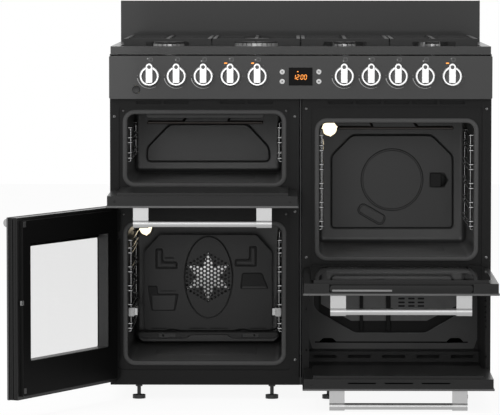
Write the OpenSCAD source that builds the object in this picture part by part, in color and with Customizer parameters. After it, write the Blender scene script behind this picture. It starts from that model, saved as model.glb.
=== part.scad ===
// Free-standing dual-fuel range cooker: gas hob with splashback above a grill,
// a side-hung fan oven, a tall conventional oven and a storage compartment.
// Drawn with all four doors open. X runs to the right, Y to the back, Z up.
// The origin is on the floor, midway between the outer levelling feet.

/* [Overall] */
// Depth from the closed door fronts to the back panel
cooker_d = 600; // [580:5:660]
// Height of the body from its underside to the hob surface
body_h = 892; // [892:1:930]
// Height of the levelling feet under the body
foot_h = 40; // [36:1:60]
// Thickness of the outer steel panels
skin_t = 2; // [1.2:0.1:3]
// How far the body reaches past the outer edge of the doors
side_margin = 3; // [1:0.5:6]

/* [Hob] */
// Height of the turned-down front edge of the hob
lip_h = 21; // [15:1:30]
// Depth of the pressed tray below the hob's rim
tray_drop = 15; // [8:1:18]
// Sheet thickness of the hob plate
hob_t = 2; // [1.2:0.1:3]
// Height of the splashback above the hob
splash_h = 113; // [60:1:160]
// Thickness of the folded splashback
splash_t = 20; // [12:1:24]
// Distance of the front and rear burners from the middle of their column
burner_off_y = 118; // [105:1:125]
// Radius of the wok burner
wok_r = 62; // [50:1:66]
// Radius of the large ordinary burner
rapid_r = 41; // [34:1:44]
// Radius of the medium burners
medium_r = 30; // [26:1:34]
// Radius of the simmer burner
simmer_r = 21; // [18:1:26]
// Height of the pan supports above the tray
support_h = 34; // [30:1:45]
// Gap between neighbouring pan supports
support_gap = 4; // [2:0.5:12]
// Free space between the outer pan supports and the tray's wall
support_margin = 8; // [4:0.5:14]
// Depth of a pan support
support_d = 470; // [440:5:480]
// Width of a bar of a pan support
bar_w = 9; // [7:1:12]

/* [Control panel] */
// Height of the control panel
panel_h = 112.5; // [100:0.5:120]
// Distance between neighbouring knobs
knob_pitch = 70.3; // [66:0.1:72]
// Distance of the innermost left knob from the middle of the cooker
knob_inner_x = 113.4; // [110:0.1:120]
// Height of the knobs above the lower edge of the panel
knob_z = 59.5; // [50:0.5:65]
// Outer radius of a knob
knob_r = 26.6; // [22:0.1:30]
// Inner radius of the bright ring of a knob
knob_ring_r = 18; // [14:0.1:20]
// How far a knob stands out of the panel
knob_len = 27; // [20:1:32]
// Width of the grip bar across a knob
grip_w = 18; // [12:0.5:20]
// Radius of a control spindle
spindle_r = 4; // [3:0.1:5]
// Width of the clock window
clock_w = 62; // [50:1:70]
// Height of the clock window
clock_h = 47; // [40:1:60]
// Radius of a clock button
clock_button_r = 6.7; // [4:0.1:8]
// Radius of the ignition button
ignition_r = 10; // [7:0.1:12]
// Travel of the clock buttons
clock_travel = 1; // [0.5:0.1:1.5]
// Travel of the ignition button
ignition_travel = 3; // [1:0.5:4]

/* [Doors] */
// How far every door reaches past its cavity at each side
door_border = 43.5; // [40:0.5:52]
// Gap between the two columns of doors
column_gap = 10; // [6:0.5:14]
// Thickness of every door
door_t = 38; // [34:1:42]
// Thickness of the outer glass of the doors
glass_t = 5; // [4:0.5:6]
// Thickness of the inner glass of the oven doors
inner_glass_t = 4; // [3:0.5:5]
// Height of the side-hung oven door
oven_door_h = 461.6; // [455:0.1:470]
// Height of the storage door
storage_door_h = 261.6; // [255:0.1:265]
// Height of the lower edge of the lowest doors above the body's underside
door_lift = 11.4; // [8:0.1:16]
// Gap between neighbouring doors and under the panel
door_gap = 4; // [3:0.5:6]
// Angle to which the side-hung door stands open
side_open = 118; // [90:1:120]
// Height of the grill door's hinge line above its lower edge
grill_rise = 21; // [18:0.5:21]
// Height of the tall oven door's hinge line above its lower edge
tall_rise = 16; // [14:0.5:20]
// Height of the storage door's hinge line above its lower edge
storage_rise = 17.2; // [15:0.1:20]
// Width of the stiles and rails of the door frames
stile_w = 44; // [36:1:50]
// How far the raised inner pan of a door is set in at its sides
pan_inset = 27; // [20:1:30]

/* [Handles] */
// Length of a handle over its end brackets
handle_len = 354; // [300:1:380]
// Length of an end bracket
bracket_len = 39; // [25:1:45]
// Distance of the rod's axis from the door
handle_reach = 42; // [36:1:43]
// Radius of the rod
rod_r = 8.5; // [6:0.5:10]
// Radius of the round end bracket
bracket_r = 11; // [9:0.5:12]
// Distance of the rod's axis below the top edge of a door
handle_drop = 20; // [13:1:60]

/* [Cavities] */
// How much further out the cavities lie than the middle of their doors
column_out = 1; // [0:0.5:2]
// Width of every heated cavity
mouth_w = 405; // [380:1:410]
// Depth of every heated cavity
cavity_d = 433; // [400:1:440]
// Radius of the cavity corners
cavity_r = 20; // [10:1:30]
// Sheet thickness of the cavity liners
liner_t = 1.5; // [1:0.1:2]
// Height of the grill cavity
grill_h = 180; // [160:1:184]
// Height of the grill cavity's floor above the lower edge of its door
grill_floor = 56; // [52:1:60]
// Height of the fan oven cavity
oven_h = 356; // [320:1:360]
// Height of the fan oven's floor above the lower edge of its door
oven_floor = 52; // [50:1:56]
// Height of the tall oven cavity
tall_h = 351; // [320:1:356]
// Height of the tall oven's floor above the lower edge of its door
tall_floor = 62.7; // [58:0.1:68]
// Depth of the recess that the cavity mouths lie in
recess_d = 6; // [4:0.5:8]
// Width of the recess border outside a cavity mouth
recess_w = 22; // [18:0.5:24]
// Width of a door gasket
gasket_w = 12.5; // [9:0.5:14]
// Depth of the storage compartment
storage_d = 400; // [340:5:430]

/* [Fittings] */
// Radius of the fan blades
fan_r = 62; // [50:1:66]
// Number of fan blades
fan_blades = 10; // [6:1:14]
// Radius of the rack wires
wire_r = 2.5; // [2:0.25:3]
// Distance of the rack wires from the cavity wall
rack_gap = 11; // [9:0.5:14]
// Radius of the hinge pins
pin_r = 2.5; // [2:0.25:3]
// Radius of the gas inlet
inlet_r = 10.5; // [8:0.5:12]
// Travel of the shelf runners
runner_travel = 300; // [200:5:320]
// Radius of a levelling foot's pad
pad_r = 17; // [14:0.5:22]
// Distance between the outer feet, side to side
feet_x = 853; // [820:1:860]
// Distance between the front and rear feet
feet_y = 440; // [400:5:460]

/* [Hidden] */
$fn = 48;

// Clearances and allowances
fit_gap = 0.05;      // radial clearance of a running pin or spindle
free_gap = 0.5;      // clearance of pieces that pass each other
cut = 1;             // how far a cutting shape runs past the surface
frame_gap = 2;       // space between a closed door and the front frame

// Heights, from the floor up
base_z = foot_h;
hob_z = foot_h + body_h;
lip_z = hob_z - lip_h;
panel_gap = 3.5;
panel_top = lip_z - panel_gap;
panel_z = panel_top - panel_h;
controls_d = 18;     // depth of the space in front of the controls' carrier
doors_top = panel_z - door_gap;
doors_z = base_z + door_lift;
oven_top = doors_z + oven_door_h;
storage_top = doors_z + storage_door_h;
grill_z = oven_top + door_gap;
tall_z = storage_top + door_gap;
grill_door_h = doors_top - grill_z;
tall_door_h = doors_top - tall_z;

// Depths, from the front to the back
front_y = -cooker_d / 2;
back_y = cooker_d / 2;
frame_y = front_y + door_t + frame_gap;
frame_t = 1.5;
flange_y = frame_y + recess_d;
cavity_back = flange_y + cavity_d;
hinge_in = 12;       // hinge line behind the front of a drop-down door
hinge_y = front_y + hinge_in;

// Widths, from the cavities outwards
door_w = mouth_w + 2 * door_border;
half_w = column_gap / 2 + door_w + side_margin;
door_x = (column_gap + door_w) / 2;   // middle of a door column
column_x = door_x + column_out;       // middle of a column of cavities
hinge_side = 5;      // how far the side-hung door's hinge line is set in
side_hinge_x = -door_x - door_w / 2 + hinge_side;
side_hinge_y = front_y + 20;
mouth_half = mouth_w / 2;
knob_xs = [for (s = [-1, 1], i = [0:4])
  s < 0 ? -knob_inner_x - knob_pitch * (4 - i) : knob_inner_x + knob_pitch * i];
knob_ring = knob_r - knob_ring_r;
knob_zc = panel_z + knob_z;

// Cavity heights
grill_z0 = grill_z + grill_floor;
oven_z0 = doors_z + oven_floor;
tall_z0 = tall_z + tall_floor;

// Hob widths
hob_margin = 4;      // how much narrower the hob is than the panel, at each side
hob_half = half_w - hob_margin;
rim_w = 24;          // width of the raised rim round the tray
tray_half = hob_half - rim_w;
support_w = (2 * (tray_half - support_margin) + support_gap) / 4 - support_gap;
burner_pitch_x = support_w + support_gap;

// Burners: column, front-to-back side, radius
burners = [
  [-1.5, -1, rapid_r], [-1.5, 1, medium_r], [-0.5, 0, wok_r],
  [0.5, -1, medium_r], [0.5, 1, medium_r], [1.5, -1, simmer_r], [1.5, 1, medium_r]
];
function burner_x(b) = b[0] * burner_pitch_x;
function burner_y(b) = hob_mid_y + b[1] * burner_off_y;
hob_mid_y = -10;     // middle of the burners, front to back
cup_wall = 1.5;

// ---------- shapes that repeat ----------

// Rounded rectangle in the XY plane, from true arcs
module round_rect(w, h, r) {
  square([w - 2 * r, h], center = true);
  square([w, h - 2 * r], center = true);
  for (x = [-1, 1], y = [-1, 1])
    translate([x * (w / 2 - r), y * (h / 2 - r)]) circle(r);
}

// Extrusion of a front-view outline: drawn in X and Z, running back from y
module front_extrude(y, t) {
  translate([0, y + t, 0]) rotate([90, 0, 0]) linear_extrude(t) children();
}

// Box given by its lowest and highest corners
module span(low, high) {
  translate(low) cube([for (i = [0:2]) high[i] - low[i]]);
}

// Round bar between two points
module bar(a, b, r) {
  d = b - a;
  l = norm(d);
  translate(a) rotate([0, acos(d[2] / l), atan2(d[1], d[0])]) cylinder(r = r, h = l);
}

// Bent round bar through a list of points
module bent_bar(points, r) {
  for (i = [0:len(points) - 2]) bar(points[i], points[i + 1], r);
  for (i = [1:len(points) - 2]) translate(points[i]) sphere(r);
}

// Turns a closed drop-down door to its open place
module drop_open(z) {
  translate([0, hinge_y, z]) rotate([90, 0, 0]) translate([0, -hinge_y, -z]) children();
}

// Turns the closed side-hung door to its open place
module side_open_place() {
  translate([side_hinge_x, side_hinge_y, 0]) rotate([0, 0, -side_open])
    translate([-side_hinge_x, -side_hinge_y, 0]) children();
}

// ---------- cabinet ----------

// Outer side walls and the divider between the two columns
module cabinet_walls() {
  y0 = frame_y + frame_t;
  y1 = back_y - skin_t;
  flange = 20;
  color([0.2, 0.2, 0.21]) for (s = [-1, 1]) {
    span([s < 0 ? -half_w : half_w - skin_t, y0, base_z],
         [s < 0 ? -half_w + skin_t : half_w, y1, lip_z]);
    span([s < 0 ? -half_w : half_w - flange, y0, lip_z - skin_t],
         [s < 0 ? -half_w + flange : half_w, y1 - splash_t + skin_t, lip_z]);
  }
  color([0.12, 0.12, 0.12])
    span([-skin_t / 2, y0, base_z + skin_t], [skin_t / 2, y1, panel_z]);
}

terminal_x = half_w - 90;
terminal_drop = 332; // how far the terminal box lies below the hob
terminal_z = hob_z - terminal_drop;
inlet_x = -half_w + 80;
inlet_z = panel_z + 30;
inlet_len = 20;      // length of the threaded inlet behind the back panel
inlet_off = 2;       // space between the back panel and the inlet's thread
inlet_wall = 4;
pipe_r = 7;
slot_w = 40;
slot_h = 5;

// Rear cover with its air slots and the ways out for gas and mains
module back_panel() {
  color([0.55, 0.56, 0.57]) difference() {
    span([-half_w, back_y - skin_t, base_z], [half_w, back_y, lip_z - panel_gap]);
    for (c = [-1, 1], i = [-3:3], k = [0:3])
      translate([c * column_x + i * (slot_w + 15), back_y, panel_z - 60 + k * 14])
        cube([slot_w, 3 * skin_t, slot_h], center = true);
    translate([inlet_x, back_y + cut, inlet_z]) rotate([90, 0, 0])
      cylinder(r = inlet_r + free_gap, h = skin_t + 2 * cut);
    translate([terminal_x, back_y + cut, terminal_z - 25]) rotate([90, 0, 0])
      cylinder(r = gland_r + free_gap, h = skin_t + 2 * cut);
  }
}

tray_lip = 20;
foot_hole_r = 5 + free_gap;
feet_inner_x = 75;
feet_xs = [-feet_x / 2, -feet_inner_x, feet_inner_x, feet_x / 2];

// Base tray with its turned-up edges and the holes for the feet
module base_tray() {
  half = half_w - skin_t - free_gap;
  y0 = frame_y + frame_t + free_gap;
  y1 = back_y - skin_t - free_gap;
  color([0.16, 0.16, 0.17]) difference() {
    union() {
      span([-half, y0, base_z], [half, y1, base_z + skin_t]);
      for (s = [-1, 1]) span([s < 0 ? -half : skin_t, s < 0 ? y0 : y0, base_z],
        [s < 0 ? -skin_t : half, y0 + skin_t, base_z + tray_lip]);
      span([-half, y1 - skin_t, base_z], [-skin_t, y1, base_z + tray_lip]);
      span([skin_t, y1 - skin_t, base_z], [half, y1, base_z + tray_lip]);
    }
    for (x = feet_xs, y = [-1, 1]) translate([x, y * feet_y / 2, base_z - cut])
      cylinder(r = foot_hole_r, h = skin_t + 2 * cut);
    span([-skin_t / 2 - free_gap, y0 - cut, base_z + skin_t],
         [skin_t / 2 + free_gap, y1 + cut, base_z + tray_lip + cut]);
  }
}

// Eight levelling feet: pad, threaded spindle and lock nut above the tray
module levelling_feet() {
  pad_h = 10;
  nut_h = 8;
  nut_r = 9;
  color([0.08, 0.08, 0.08]) for (x = feet_xs, y = [-1, 1])
    translate([x, y * feet_y / 2, 0]) {
      cylinder(r = pad_r, h = pad_h);
      cylinder(r = foot_hole_r - free_gap, h = foot_h + skin_t + nut_h);
      translate([0, 0, foot_h - nut_h]) cylinder(r = nut_r, h = nut_h, $fn = 6);
      translate([0, 0, foot_h + skin_t]) cylinder(r = nut_r, h = nut_h, $fn = 6);
    }
}

pillar_gap = 4;
storage_x0 = 23;
storage_x1 = half_w - 13;
storage_z0 = doors_z + 12.6;
storage_z1 = storage_top - 13;
vent_h = 8;
vent_w = 66;
vent_pitch = 73;
vent_z = doors_top - 7;
vent_reach = 179.5;  // outer end of a row of vents from the middle of its column
vent_inner = 41;     // start of the grill's inner pair of vents

// Border of a cavity's recess in the front frame: x middle, lower and upper height
function recess_box(xc, z0, h, top) =
  [xc - mouth_half - recess_w, z0 - gasket_w - 12,
   xc + mouth_half + recess_w, top];

recess_top = doors_top - 18;
grill_recess = recess_box(-column_x, grill_z0, grill_h, recess_top);
oven_recess = recess_box(-column_x, oven_z0, oven_h, oven_z0 + oven_h + gasket_w + 27);
tall_recess = recess_box(column_x, tall_z0, tall_h, recess_top);

module recess_outline(b) {
  translate([(b[0] + b[2]) / 2, (b[1] + b[3]) / 2])
    round_rect(b[2] - b[0], b[3] - b[1], 6);
}

// Row of n air slots over the cavities, the first one beginning at x
module vent_row(x, n) {
  for (i = [0:n - 1])
    translate([x + vent_w / 2 + i * vent_pitch, vent_z]) round_rect(vent_w, vent_h, 3.9);
}

frame_screw_r = 4;
// Screw places on the uprights of the front frames
frame_screws = [
  [-half_w + 11, doors_top - 44], [-14.6, doors_top - 44],
  [-14.6, oven_top - 16], [-14.6, doors_z + 53],
  [14.6, doors_top - 22], [half_w - 12, doors_top - 22],
  [14.6, tall_z + 59], [half_w - 11, tall_z + 59]
];

// Two enamelled front frames, one for each column, with their screws
module front_frames() {
  color([0.17, 0.17, 0.17]) {
    front_extrude(frame_y, frame_t) difference() {
      polygon([[-half_w, base_z], [-pillar_gap, base_z],
               [-pillar_gap, panel_top], [-half_w, panel_top]]);
      recess_outline(grill_recess);
      recess_outline(oven_recess);
      vent_row(-column_x - vent_reach, 2);
      vent_row(-column_x + vent_inner, 2);
      panel_window(-1);
    }
    front_extrude(frame_y, frame_t) difference() {
      polygon([[half_w, base_z], [pillar_gap, base_z],
               [pillar_gap, panel_top], [half_w, panel_top]]);
      recess_outline(tall_recess);
      vent_row(column_x - vent_reach, 5);
      translate([(storage_x0 + storage_x1) / 2, (storage_z0 + storage_z1) / 2])
        round_rect(storage_x1 - storage_x0, storage_z1 - storage_z0, 4);
      panel_window(1);
    }
  }
  color([0.1, 0.1, 0.1]) for (s = frame_screws) translate([s[0], frame_y, s[1]])
    rotate([90, 0, 0]) difference() {
      cylinder(r = frame_screw_r, h = 2);
      translate([0, 0, 1]) cylinder(r = 1.6, h = 2, $fn = 6);
    }
}

// Clear way behind the control panel for the controls, open towards the middle
module panel_window(s) {
  x0 = s < 0 ? -half_w + 15 : 0;
  translate([x0, panel_z + 6]) square([half_w - 15, panel_h - 14]);
}

// ---------- hob ----------

burner_hole = 6;     // how much smaller a burner's hole is than the burner
tray_z = hob_z - tray_drop;

// Hob plate: raised rim with its turned-down edge, and the pressed tray
module hob_plate() {
  x = tray_half;
  y0 = front_y + rim_w;
  y1 = back_y - splash_t - rim_w;
  color([0.24, 0.24, 0.25]) difference() {
    span([-hob_half, front_y, lip_z], [hob_half, back_y - splash_t, hob_z]);
    span([-x, y0, tray_z], [x, y1, hob_z + cut]);
    difference() {
      span([-hob_half + hob_t, front_y + hob_t, lip_z - cut],
           [hob_half - hob_t, back_y - splash_t - hob_t, hob_z - hob_t]);
      span([-x - hob_t, y0 - hob_t, tray_z - hob_t], [x + hob_t, y1 + hob_t, hob_z]);
    }
    for (b = burners) translate([burner_x(b), burner_y(b), tray_z - hob_t - cut])
      cylinder(r = b[2] - burner_hole, h = hob_t + 2 * cut);
  }
}

// Folded splashback standing on the rear edge of the body
module splashback() {
  x = hob_half;
  color([0.24, 0.24, 0.25]) difference() {
    span([-x, back_y - splash_t, lip_z - panel_gap], [x, back_y, hob_z + splash_h]);
    span([-x + skin_t, back_y - splash_t + skin_t, lip_z - panel_gap - cut],
         [x - skin_t, back_y + cut, hob_z + splash_h - skin_t]);
  }
}

crown_h = 18;        // height of a burner's crown over the tray
slot_depth = 7;      // depth of the flame slots in the crown
flame_slot = 2.5;    // width of the flame slots
cup_d = 22;          // depth of a burner's cup under the tray
wok_core_r = 33;     // radius of the wok burner's inner crown
wok_core_h = 7;      // how much higher the inner crown is
cap_t = 5;
cap_in = 1.5;        // how much smaller a cap is than its crown

// Slotted crown of a burner, standing on z
module crown(r, h, wall) {
  slots = round(r / 2.2);
  difference() {
    cylinder(r = r, h = h);
    translate([0, 0, -cut]) cylinder(r = r - wall, h = h + 2 * cut);
    for (i = [0:slots - 1]) rotate(i * 360 / slots)
      translate([r - wall - cut, -flame_slot / 2, h - slot_depth])
        cube([wall + 2 * cut, flame_slot, slot_depth + cut]);
  }
}

// Seven burners: the cup under the tray and the slotted crown that stands over it
module burner_bases() {
  color([0.72, 0.72, 0.73]) for (b = burners)
    translate([burner_x(b), burner_y(b), tray_z]) {
      neck = b[2] - burner_hole - free_gap;
      crown(b[2], crown_h, burner_hole + 3 * cup_wall);
      difference() {
        translate([0, 0, -cup_d]) cylinder(r = neck, h = cup_d + 4);
        translate([0, 0, -cup_d + cup_wall]) cylinder(r = neck - 3 * cup_wall, h = cup_d + 4);
      }
      if (b[2] == wok_r) {
        crown(wok_core_r, crown_h + wok_core_h, 6);
        difference() {
          cylinder(r = b[2] - burner_hole, h = 5);
          translate([0, 0, -cut]) cylinder(r = wok_core_r - 6, h = 5 + 2 * cut);
        }
      }
    }
}

// Seven enamelled burner caps that lie loose on the crowns; the wok burner has two
module burner_caps() {
  plug = burner_hole + 3 * cup_wall + free_gap;
  color([0.07, 0.07, 0.07]) for (b = burners)
    translate([burner_x(b), burner_y(b), tray_z + crown_h]) {
      if (b[2] == wok_r) {
        translate([0, 0, wok_core_h]) cylinder(r = wok_core_r - cap_in, h = cap_t);
        translate([0, 0, wok_core_h - 4]) cylinder(r = wok_core_r - 6 - free_gap, h = 5);
        difference() {
          cylinder(r = b[2] - cap_in, h = 3);
          translate([0, 0, -cut]) cylinder(r = wok_core_r + 4, h = 5);
        }
      } else {
        cylinder(r = b[2] - cap_in, h = cap_t);
        translate([0, 0, -4]) cylinder(r = b[2] - plug, h = 5);
      }
    }
}

// Cast-iron pan support over burner column i, with fingers towards the burners
module pan_support(i) {
  x = (i - 2.5) * burner_pitch_x;
  w = support_w / 2;
  d = support_d / 2;
  top = tray_z + support_h;
  bar_h = 8;
  z = top - bar_h;
  near = i == 2 ? [0] : [-1, 1];
  finger = i == 2 ? wok_core_r + 4 : 16;
  corner = 58;
  color([0.06, 0.06, 0.06]) {
    for (s = [-1, 1]) {
      span([x - w, hob_mid_y + (s < 0 ? -d : d - bar_w), z],
           [x + w, hob_mid_y + (s < 0 ? -d + bar_w : d), top]);
      span([x + (s < 0 ? -w : w - bar_w), hob_mid_y - d, z],
           [x + (s < 0 ? -w + bar_w : w), hob_mid_y + d, top]);
    }
    if (i != 2) span([x - w, hob_mid_y - bar_w / 2, z], [x + w, hob_mid_y + bar_w / 2, top]);
    for (n = near) {
      y = hob_mid_y + n * burner_off_y;
      for (s = [-1, 1])
        span([x + (s < 0 ? -w : finger), y - bar_w / 2, z],
             [x + (s < 0 ? -finger : w), y + bar_w / 2, top]);
      reach_out = n == 0 ? d : d - burner_off_y;
      span([x - bar_w / 2, n > 0 ? y + finger : y - reach_out, z],
           [x + bar_w / 2, n > 0 ? y + reach_out : y - finger, top]);
      inner = n == 0 ? d : burner_off_y;
      span([x - bar_w / 2, n > 0 ? y - inner : y + finger, z],
           [x + bar_w / 2, n > 0 ? y - finger : y + inner, top]);
    }
    for (sx = [-1, 1], sy = [-1, 1]) {
      span([x + (sx < 0 ? -w : w - corner), hob_mid_y + (sy < 0 ? -d : d - bar_w), tray_z + 4],
           [x + (sx < 0 ? -w + corner : w), hob_mid_y + (sy < 0 ? -d + bar_w : d), top]);
      translate([x + sx * (w - bar_w / 2), hob_mid_y + sy * (d - bar_w / 2), tray_z])
        cylinder(r = bar_w / 2, h = support_h - bar_h / 2);
    }
  }
}

// ---------- controls ----------

clock_zs = [panel_z + 70.7, panel_z + 45.7];
clock_xs = [-48, 47.5];
clock_z = panel_z + 58.5;
clock_t = 8;
ignition_x = -429;
ignition_z = panel_z + 24.5;
ignition_stem_y = front_y + 13;
button_gap = 0.3;

// Control panel with the holes for spindles, buttons and clock
module control_panel() {
  color([0.27, 0.27, 0.28]) difference() {
    front_extrude(front_y, frame_y - front_y) translate([0, panel_z + panel_h / 2])
      round_rect(2 * half_w, panel_h, 4);
    span([-half_w + skin_t, front_y + skin_t, panel_z + skin_t],
         [half_w - skin_t, frame_y + cut, panel_top - skin_t]);
    for (x = knob_xs) translate([x, front_y - cut, knob_zc]) rotate([-90, 0, 0])
      cylinder(r = spindle_r + 1.5, h = skin_t + 2 * cut);
    translate([ignition_x, front_y - cut, ignition_z]) rotate([-90, 0, 0])
      cylinder(r = ignition_r + button_gap, h = skin_t + 2 * cut);
    for (x = clock_xs, z = clock_zs) translate([x, front_y - cut, z]) rotate([-90, 0, 0])
      cylinder(r = clock_button_r + button_gap, h = skin_t + 2 * cut);
    span([-clock_w / 2, front_y - cut, clock_z - clock_h / 2],
         [clock_w / 2, front_y + skin_t + cut, clock_z + clock_h / 2]);
  }
}

// Clock: window, board with the four button switches, and housing on side ears
module clock_display() {
  board = 68;
  color([0.05, 0.05, 0.05])
    span([-clock_w / 2 + button_gap, front_y + 0.5, clock_z - clock_h / 2 + button_gap],
         [clock_w / 2 - button_gap, front_y + clock_t, clock_z + clock_h / 2 - button_gap]);
  color([0.1, 0.25, 0.12])
    span([-board, front_y + clock_t, clock_z - 27], [board, front_y + clock_t + 1.6, clock_z + 27]);
  color([0.12, 0.12, 0.12]) {
    span([-40, front_y + clock_t + 1.6, clock_z - 24], [40, tap_y + 6, clock_z + 24]);
    span([-board - 8, tap_y, clock_z - 10], [board + 8, tap_y + 3, clock_z + 10]);
  }
}

// One knob on its spindle, hole j of the panel
module knob(j) {
  x = knob_xs[j - 1];
  gap = 1.5;
  disc = 5;
  boss_r = 8;
  color([0.85, 0.86, 0.87]) translate([x, front_y - gap, knob_zc]) rotate([90, 0, 0])
    difference() {
      union() {
        cylinder(r = knob_r, h = disc);
        difference() {
          cylinder(r = knob_r, h = knob_len - 9);
          translate([0, 0, disc]) cylinder(r = knob_ring_r, h = knob_len);
        }
        cylinder(r = boss_r, h = knob_len - 9);
        intersection() {
          translate([-grip_w / 2, -16, 0]) cube([grip_w, 40.3, knob_len - gap]);
          cylinder(r = knob_r - 1.2, h = knob_len);
        }
        translate([0, 23.7, 0]) cylinder(r = grip_w / 2, h = knob_len - gap);
      }
      translate([0, 0, -cut]) cylinder(r = spindle_r + fit_gap, h = 16 + cut);
    }
  color([0.6, 0.6, 0.6]) translate([x, front_y - gap - 15.5, knob_zc]) rotate([-90, 0, 0])
    cylinder(r = spindle_r, h = 15.5 + gap + controls_d + 2 + 8);
}

carrier_t = 2;
tap_y = front_y + controls_d + carrier_t;
tap_w = 26;
tap_d = 34;
tap_h = 30;

// Carrier plate behind the panel with seven gas taps, three oven switches
// and the switch of the ignition button
module control_bodies() {
  carrier = 24;
  color([0.7, 0.7, 0.7]) difference() {
    span([-half_w + skin_t, tap_y - carrier_t, knob_zc - carrier],
         [half_w - skin_t, tap_y, knob_zc + carrier]);
    for (x = knob_xs) translate([x, tap_y - carrier_t - cut, knob_zc]) rotate([-90, 0, 0])
      cylinder(r = spindle_r + fit_gap, h = carrier_t + 2 * cut);
    span([-68 - free_gap, tap_y - carrier_t - cut, knob_zc - carrier - cut],
         [68 + free_gap, tap_y + cut, knob_zc + carrier + cut]);
  }
  color([0.15, 0.15, 0.15])
    span([ignition_x - 8, ignition_stem_y + ignition_travel + free_gap, ignition_z - 9],
         [ignition_x + 8, tap_y + 10, knob_zc - carrier + 6]);
  for (j = [1:10]) {
    gas = j != 4 && j != 5 && j != 10;
    color(gas ? [0.75, 0.62, 0.3] : [0.15, 0.15, 0.15]) difference() {
      span([knob_xs[j - 1] - tap_w / 2, tap_y, knob_zc - tap_h / 2],
           [knob_xs[j - 1] + tap_w / 2, tap_y + tap_d, knob_zc + tap_h / 2]);
      translate([knob_xs[j - 1], tap_y - cut, knob_zc]) rotate([-90, 0, 0])
        cylinder(r = spindle_r + fit_gap, h = 9 + cut);
    }
  }
}

rail_r = 9;
rail_y = tap_y + tap_d / 2;
rail_z = knob_zc - tap_h / 2 - rail_r;

// Gas rail that carries the taps, and its pipe to the inlet at the back
module gas_rail() {
  x0 = knob_xs[0] - tap_w / 2;
  color([0.8, 0.8, 0.8]) {
    bar([x0, rail_y, rail_z], [knob_xs[9] - 30, rail_y, rail_z], rail_r);
    bent_bar([[x0, rail_y, rail_z], [inlet_x, rail_y, rail_z],
              [inlet_x, rail_y + 60, rail_z], [inlet_x, rail_y + 60, inlet_z],
              [inlet_x, back_y - 30, inlet_z]], pipe_r);
    difference() {
      union() {
        bar([inlet_x, back_y - 40, inlet_z], [inlet_x, back_y + inlet_off, inlet_z],
            inlet_r - 1.5);
        bar([inlet_x, back_y + inlet_off, inlet_z],
            [inlet_x, back_y + inlet_off + inlet_len, inlet_z], inlet_r);
      }
      bar([inlet_x, back_y - 20, inlet_z],
          [inlet_x, back_y + inlet_off + inlet_len + cut, inlet_z], inlet_r - inlet_wall);
    }
  }
}

// Black push button for the burner ignition, with its stem
module ignition_button() {
  color([0.05, 0.05, 0.05]) translate([ignition_x, front_y, ignition_z])
    rotate([90, 0, 0]) {
      translate([0, 0, -skin_t - 4]) cylinder(r = ignition_r, h = skin_t + 4 + 5);
      translate([0, 0, front_y - ignition_stem_y]) cylinder(r = 4, h = 10);
    }
}

// One of the four round clock buttons, with the stem that presses its switch
module clock_button(n) {
  x = clock_xs[n % 2];
  z = clock_zs[n < 2 ? 0 : 1];
  stem = clock_t - clock_travel - 0.3;
  color([0.9, 0.9, 0.9]) translate([x, front_y, z]) rotate([90, 0, 0]) {
    translate([0, 0, -stem]) cylinder(r = 2, h = stem);
    translate([0, 0, -skin_t - 1]) cylinder(r = clock_button_r, h = skin_t + 1 + 2.2);
  }
}

// ---------- cavities ----------

// Pressed liner: flange in the front recess, rounded box and back wall
module liner(xc, z0, h, recess, emboss) {
  zc = z0 + h / 2;
  translate([xc, 0, zc]) difference() {
    union() {
      front_extrude(flange_y, liner_t) difference() {
        translate([(recess[0] + recess[2]) / 2 - xc, (recess[1] + recess[3]) / 2 - zc])
          round_rect(recess[2] - recess[0] + 2 * frame_t, recess[3] - recess[1] + 2 * frame_t, 7);
        round_rect(mouth_w, h, cavity_r);
      }
      front_extrude(flange_y, cavity_d + liner_t) difference() {
        round_rect(mouth_w + 2 * liner_t, h + 2 * liner_t, cavity_r + liner_t);
        round_rect(mouth_w, h, cavity_r);
      }
      front_extrude(cavity_back, liner_t) round_rect(mouth_w, h, cavity_r);
      front_extrude(cavity_back - 4, 4) polygon(emboss);
      rim = 1.5;
      front_extrude(frame_y + frame_t, recess_d - frame_t + liner_t) difference() {
        translate([(recess[0] + recess[2]) / 2 - xc, (recess[1] + recess[3]) / 2 - zc])
          round_rect(recess[2] - recess[0] + 2 * rim, recess[3] - recess[1] + 2 * rim, 7.5);
        translate([(recess[0] + recess[2]) / 2 - xc, (recess[1] + recess[3]) / 2 - zc])
          round_rect(recess[2] - recess[0], recess[3] - recess[1], 6);
      }
    }
    children();
  }
}

// Outline of a raised panel with cut corners: width, reach up and down from the
// middle, width of the cuts, height of the upper and of the lower cuts
function cut_corners(w, up, down, cx, cz, low) = [
  [-w / 2 + min(cx, low), -down], [w / 2 - min(cx, low), -down],
  [w / 2, -down + low], [w / 2, up - cz], [w / 2 - cx, up],
  [-w / 2 + cx, up], [-w / 2, up - cz], [-w / 2, -down + low]];

// Round hole through a cavity's back wall, at x and z from its middle
module back_hole(x, z, r) {
  translate([x, cavity_back - 10, z]) rotate([-90, 0, 0]) cylinder(r = r, h = 20);
}

element_r = 3.5;
leg_hole = element_r + free_gap;
loop_legs = 60;      // distance of a heating loop's legs from its middle
loop_d = 60;         // depth of a heating loop's front turn

module grill_liner() {
  color([0.2, 0.2, 0.2])
    liner(-column_x, grill_z0, grill_h, grill_recess, cut_corners(336, 45, 58, 60, 68, 24))
      for (s = [-1, 1]) back_hole(s * loop_legs, grill_h / 2 - 25, leg_hole);
}

module fan_oven_liner() {
  color([0.12, 0.12, 0.12])
    liner(-column_x, oven_z0, oven_h, oven_recess, cut_corners(300, 50, 40, 20, 20, 10)) {
      back_hole(fan_x, fan_dz, 8);
      for (s = [-1, 1]) back_hole(fan_x + s * leg_x, fan_dz - leg_dz, leg_hole);
      back_hole(lamp_dx, oven_h / 2 - lamp_dz - 12, lamp_r + free_gap);
    }
}

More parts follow.
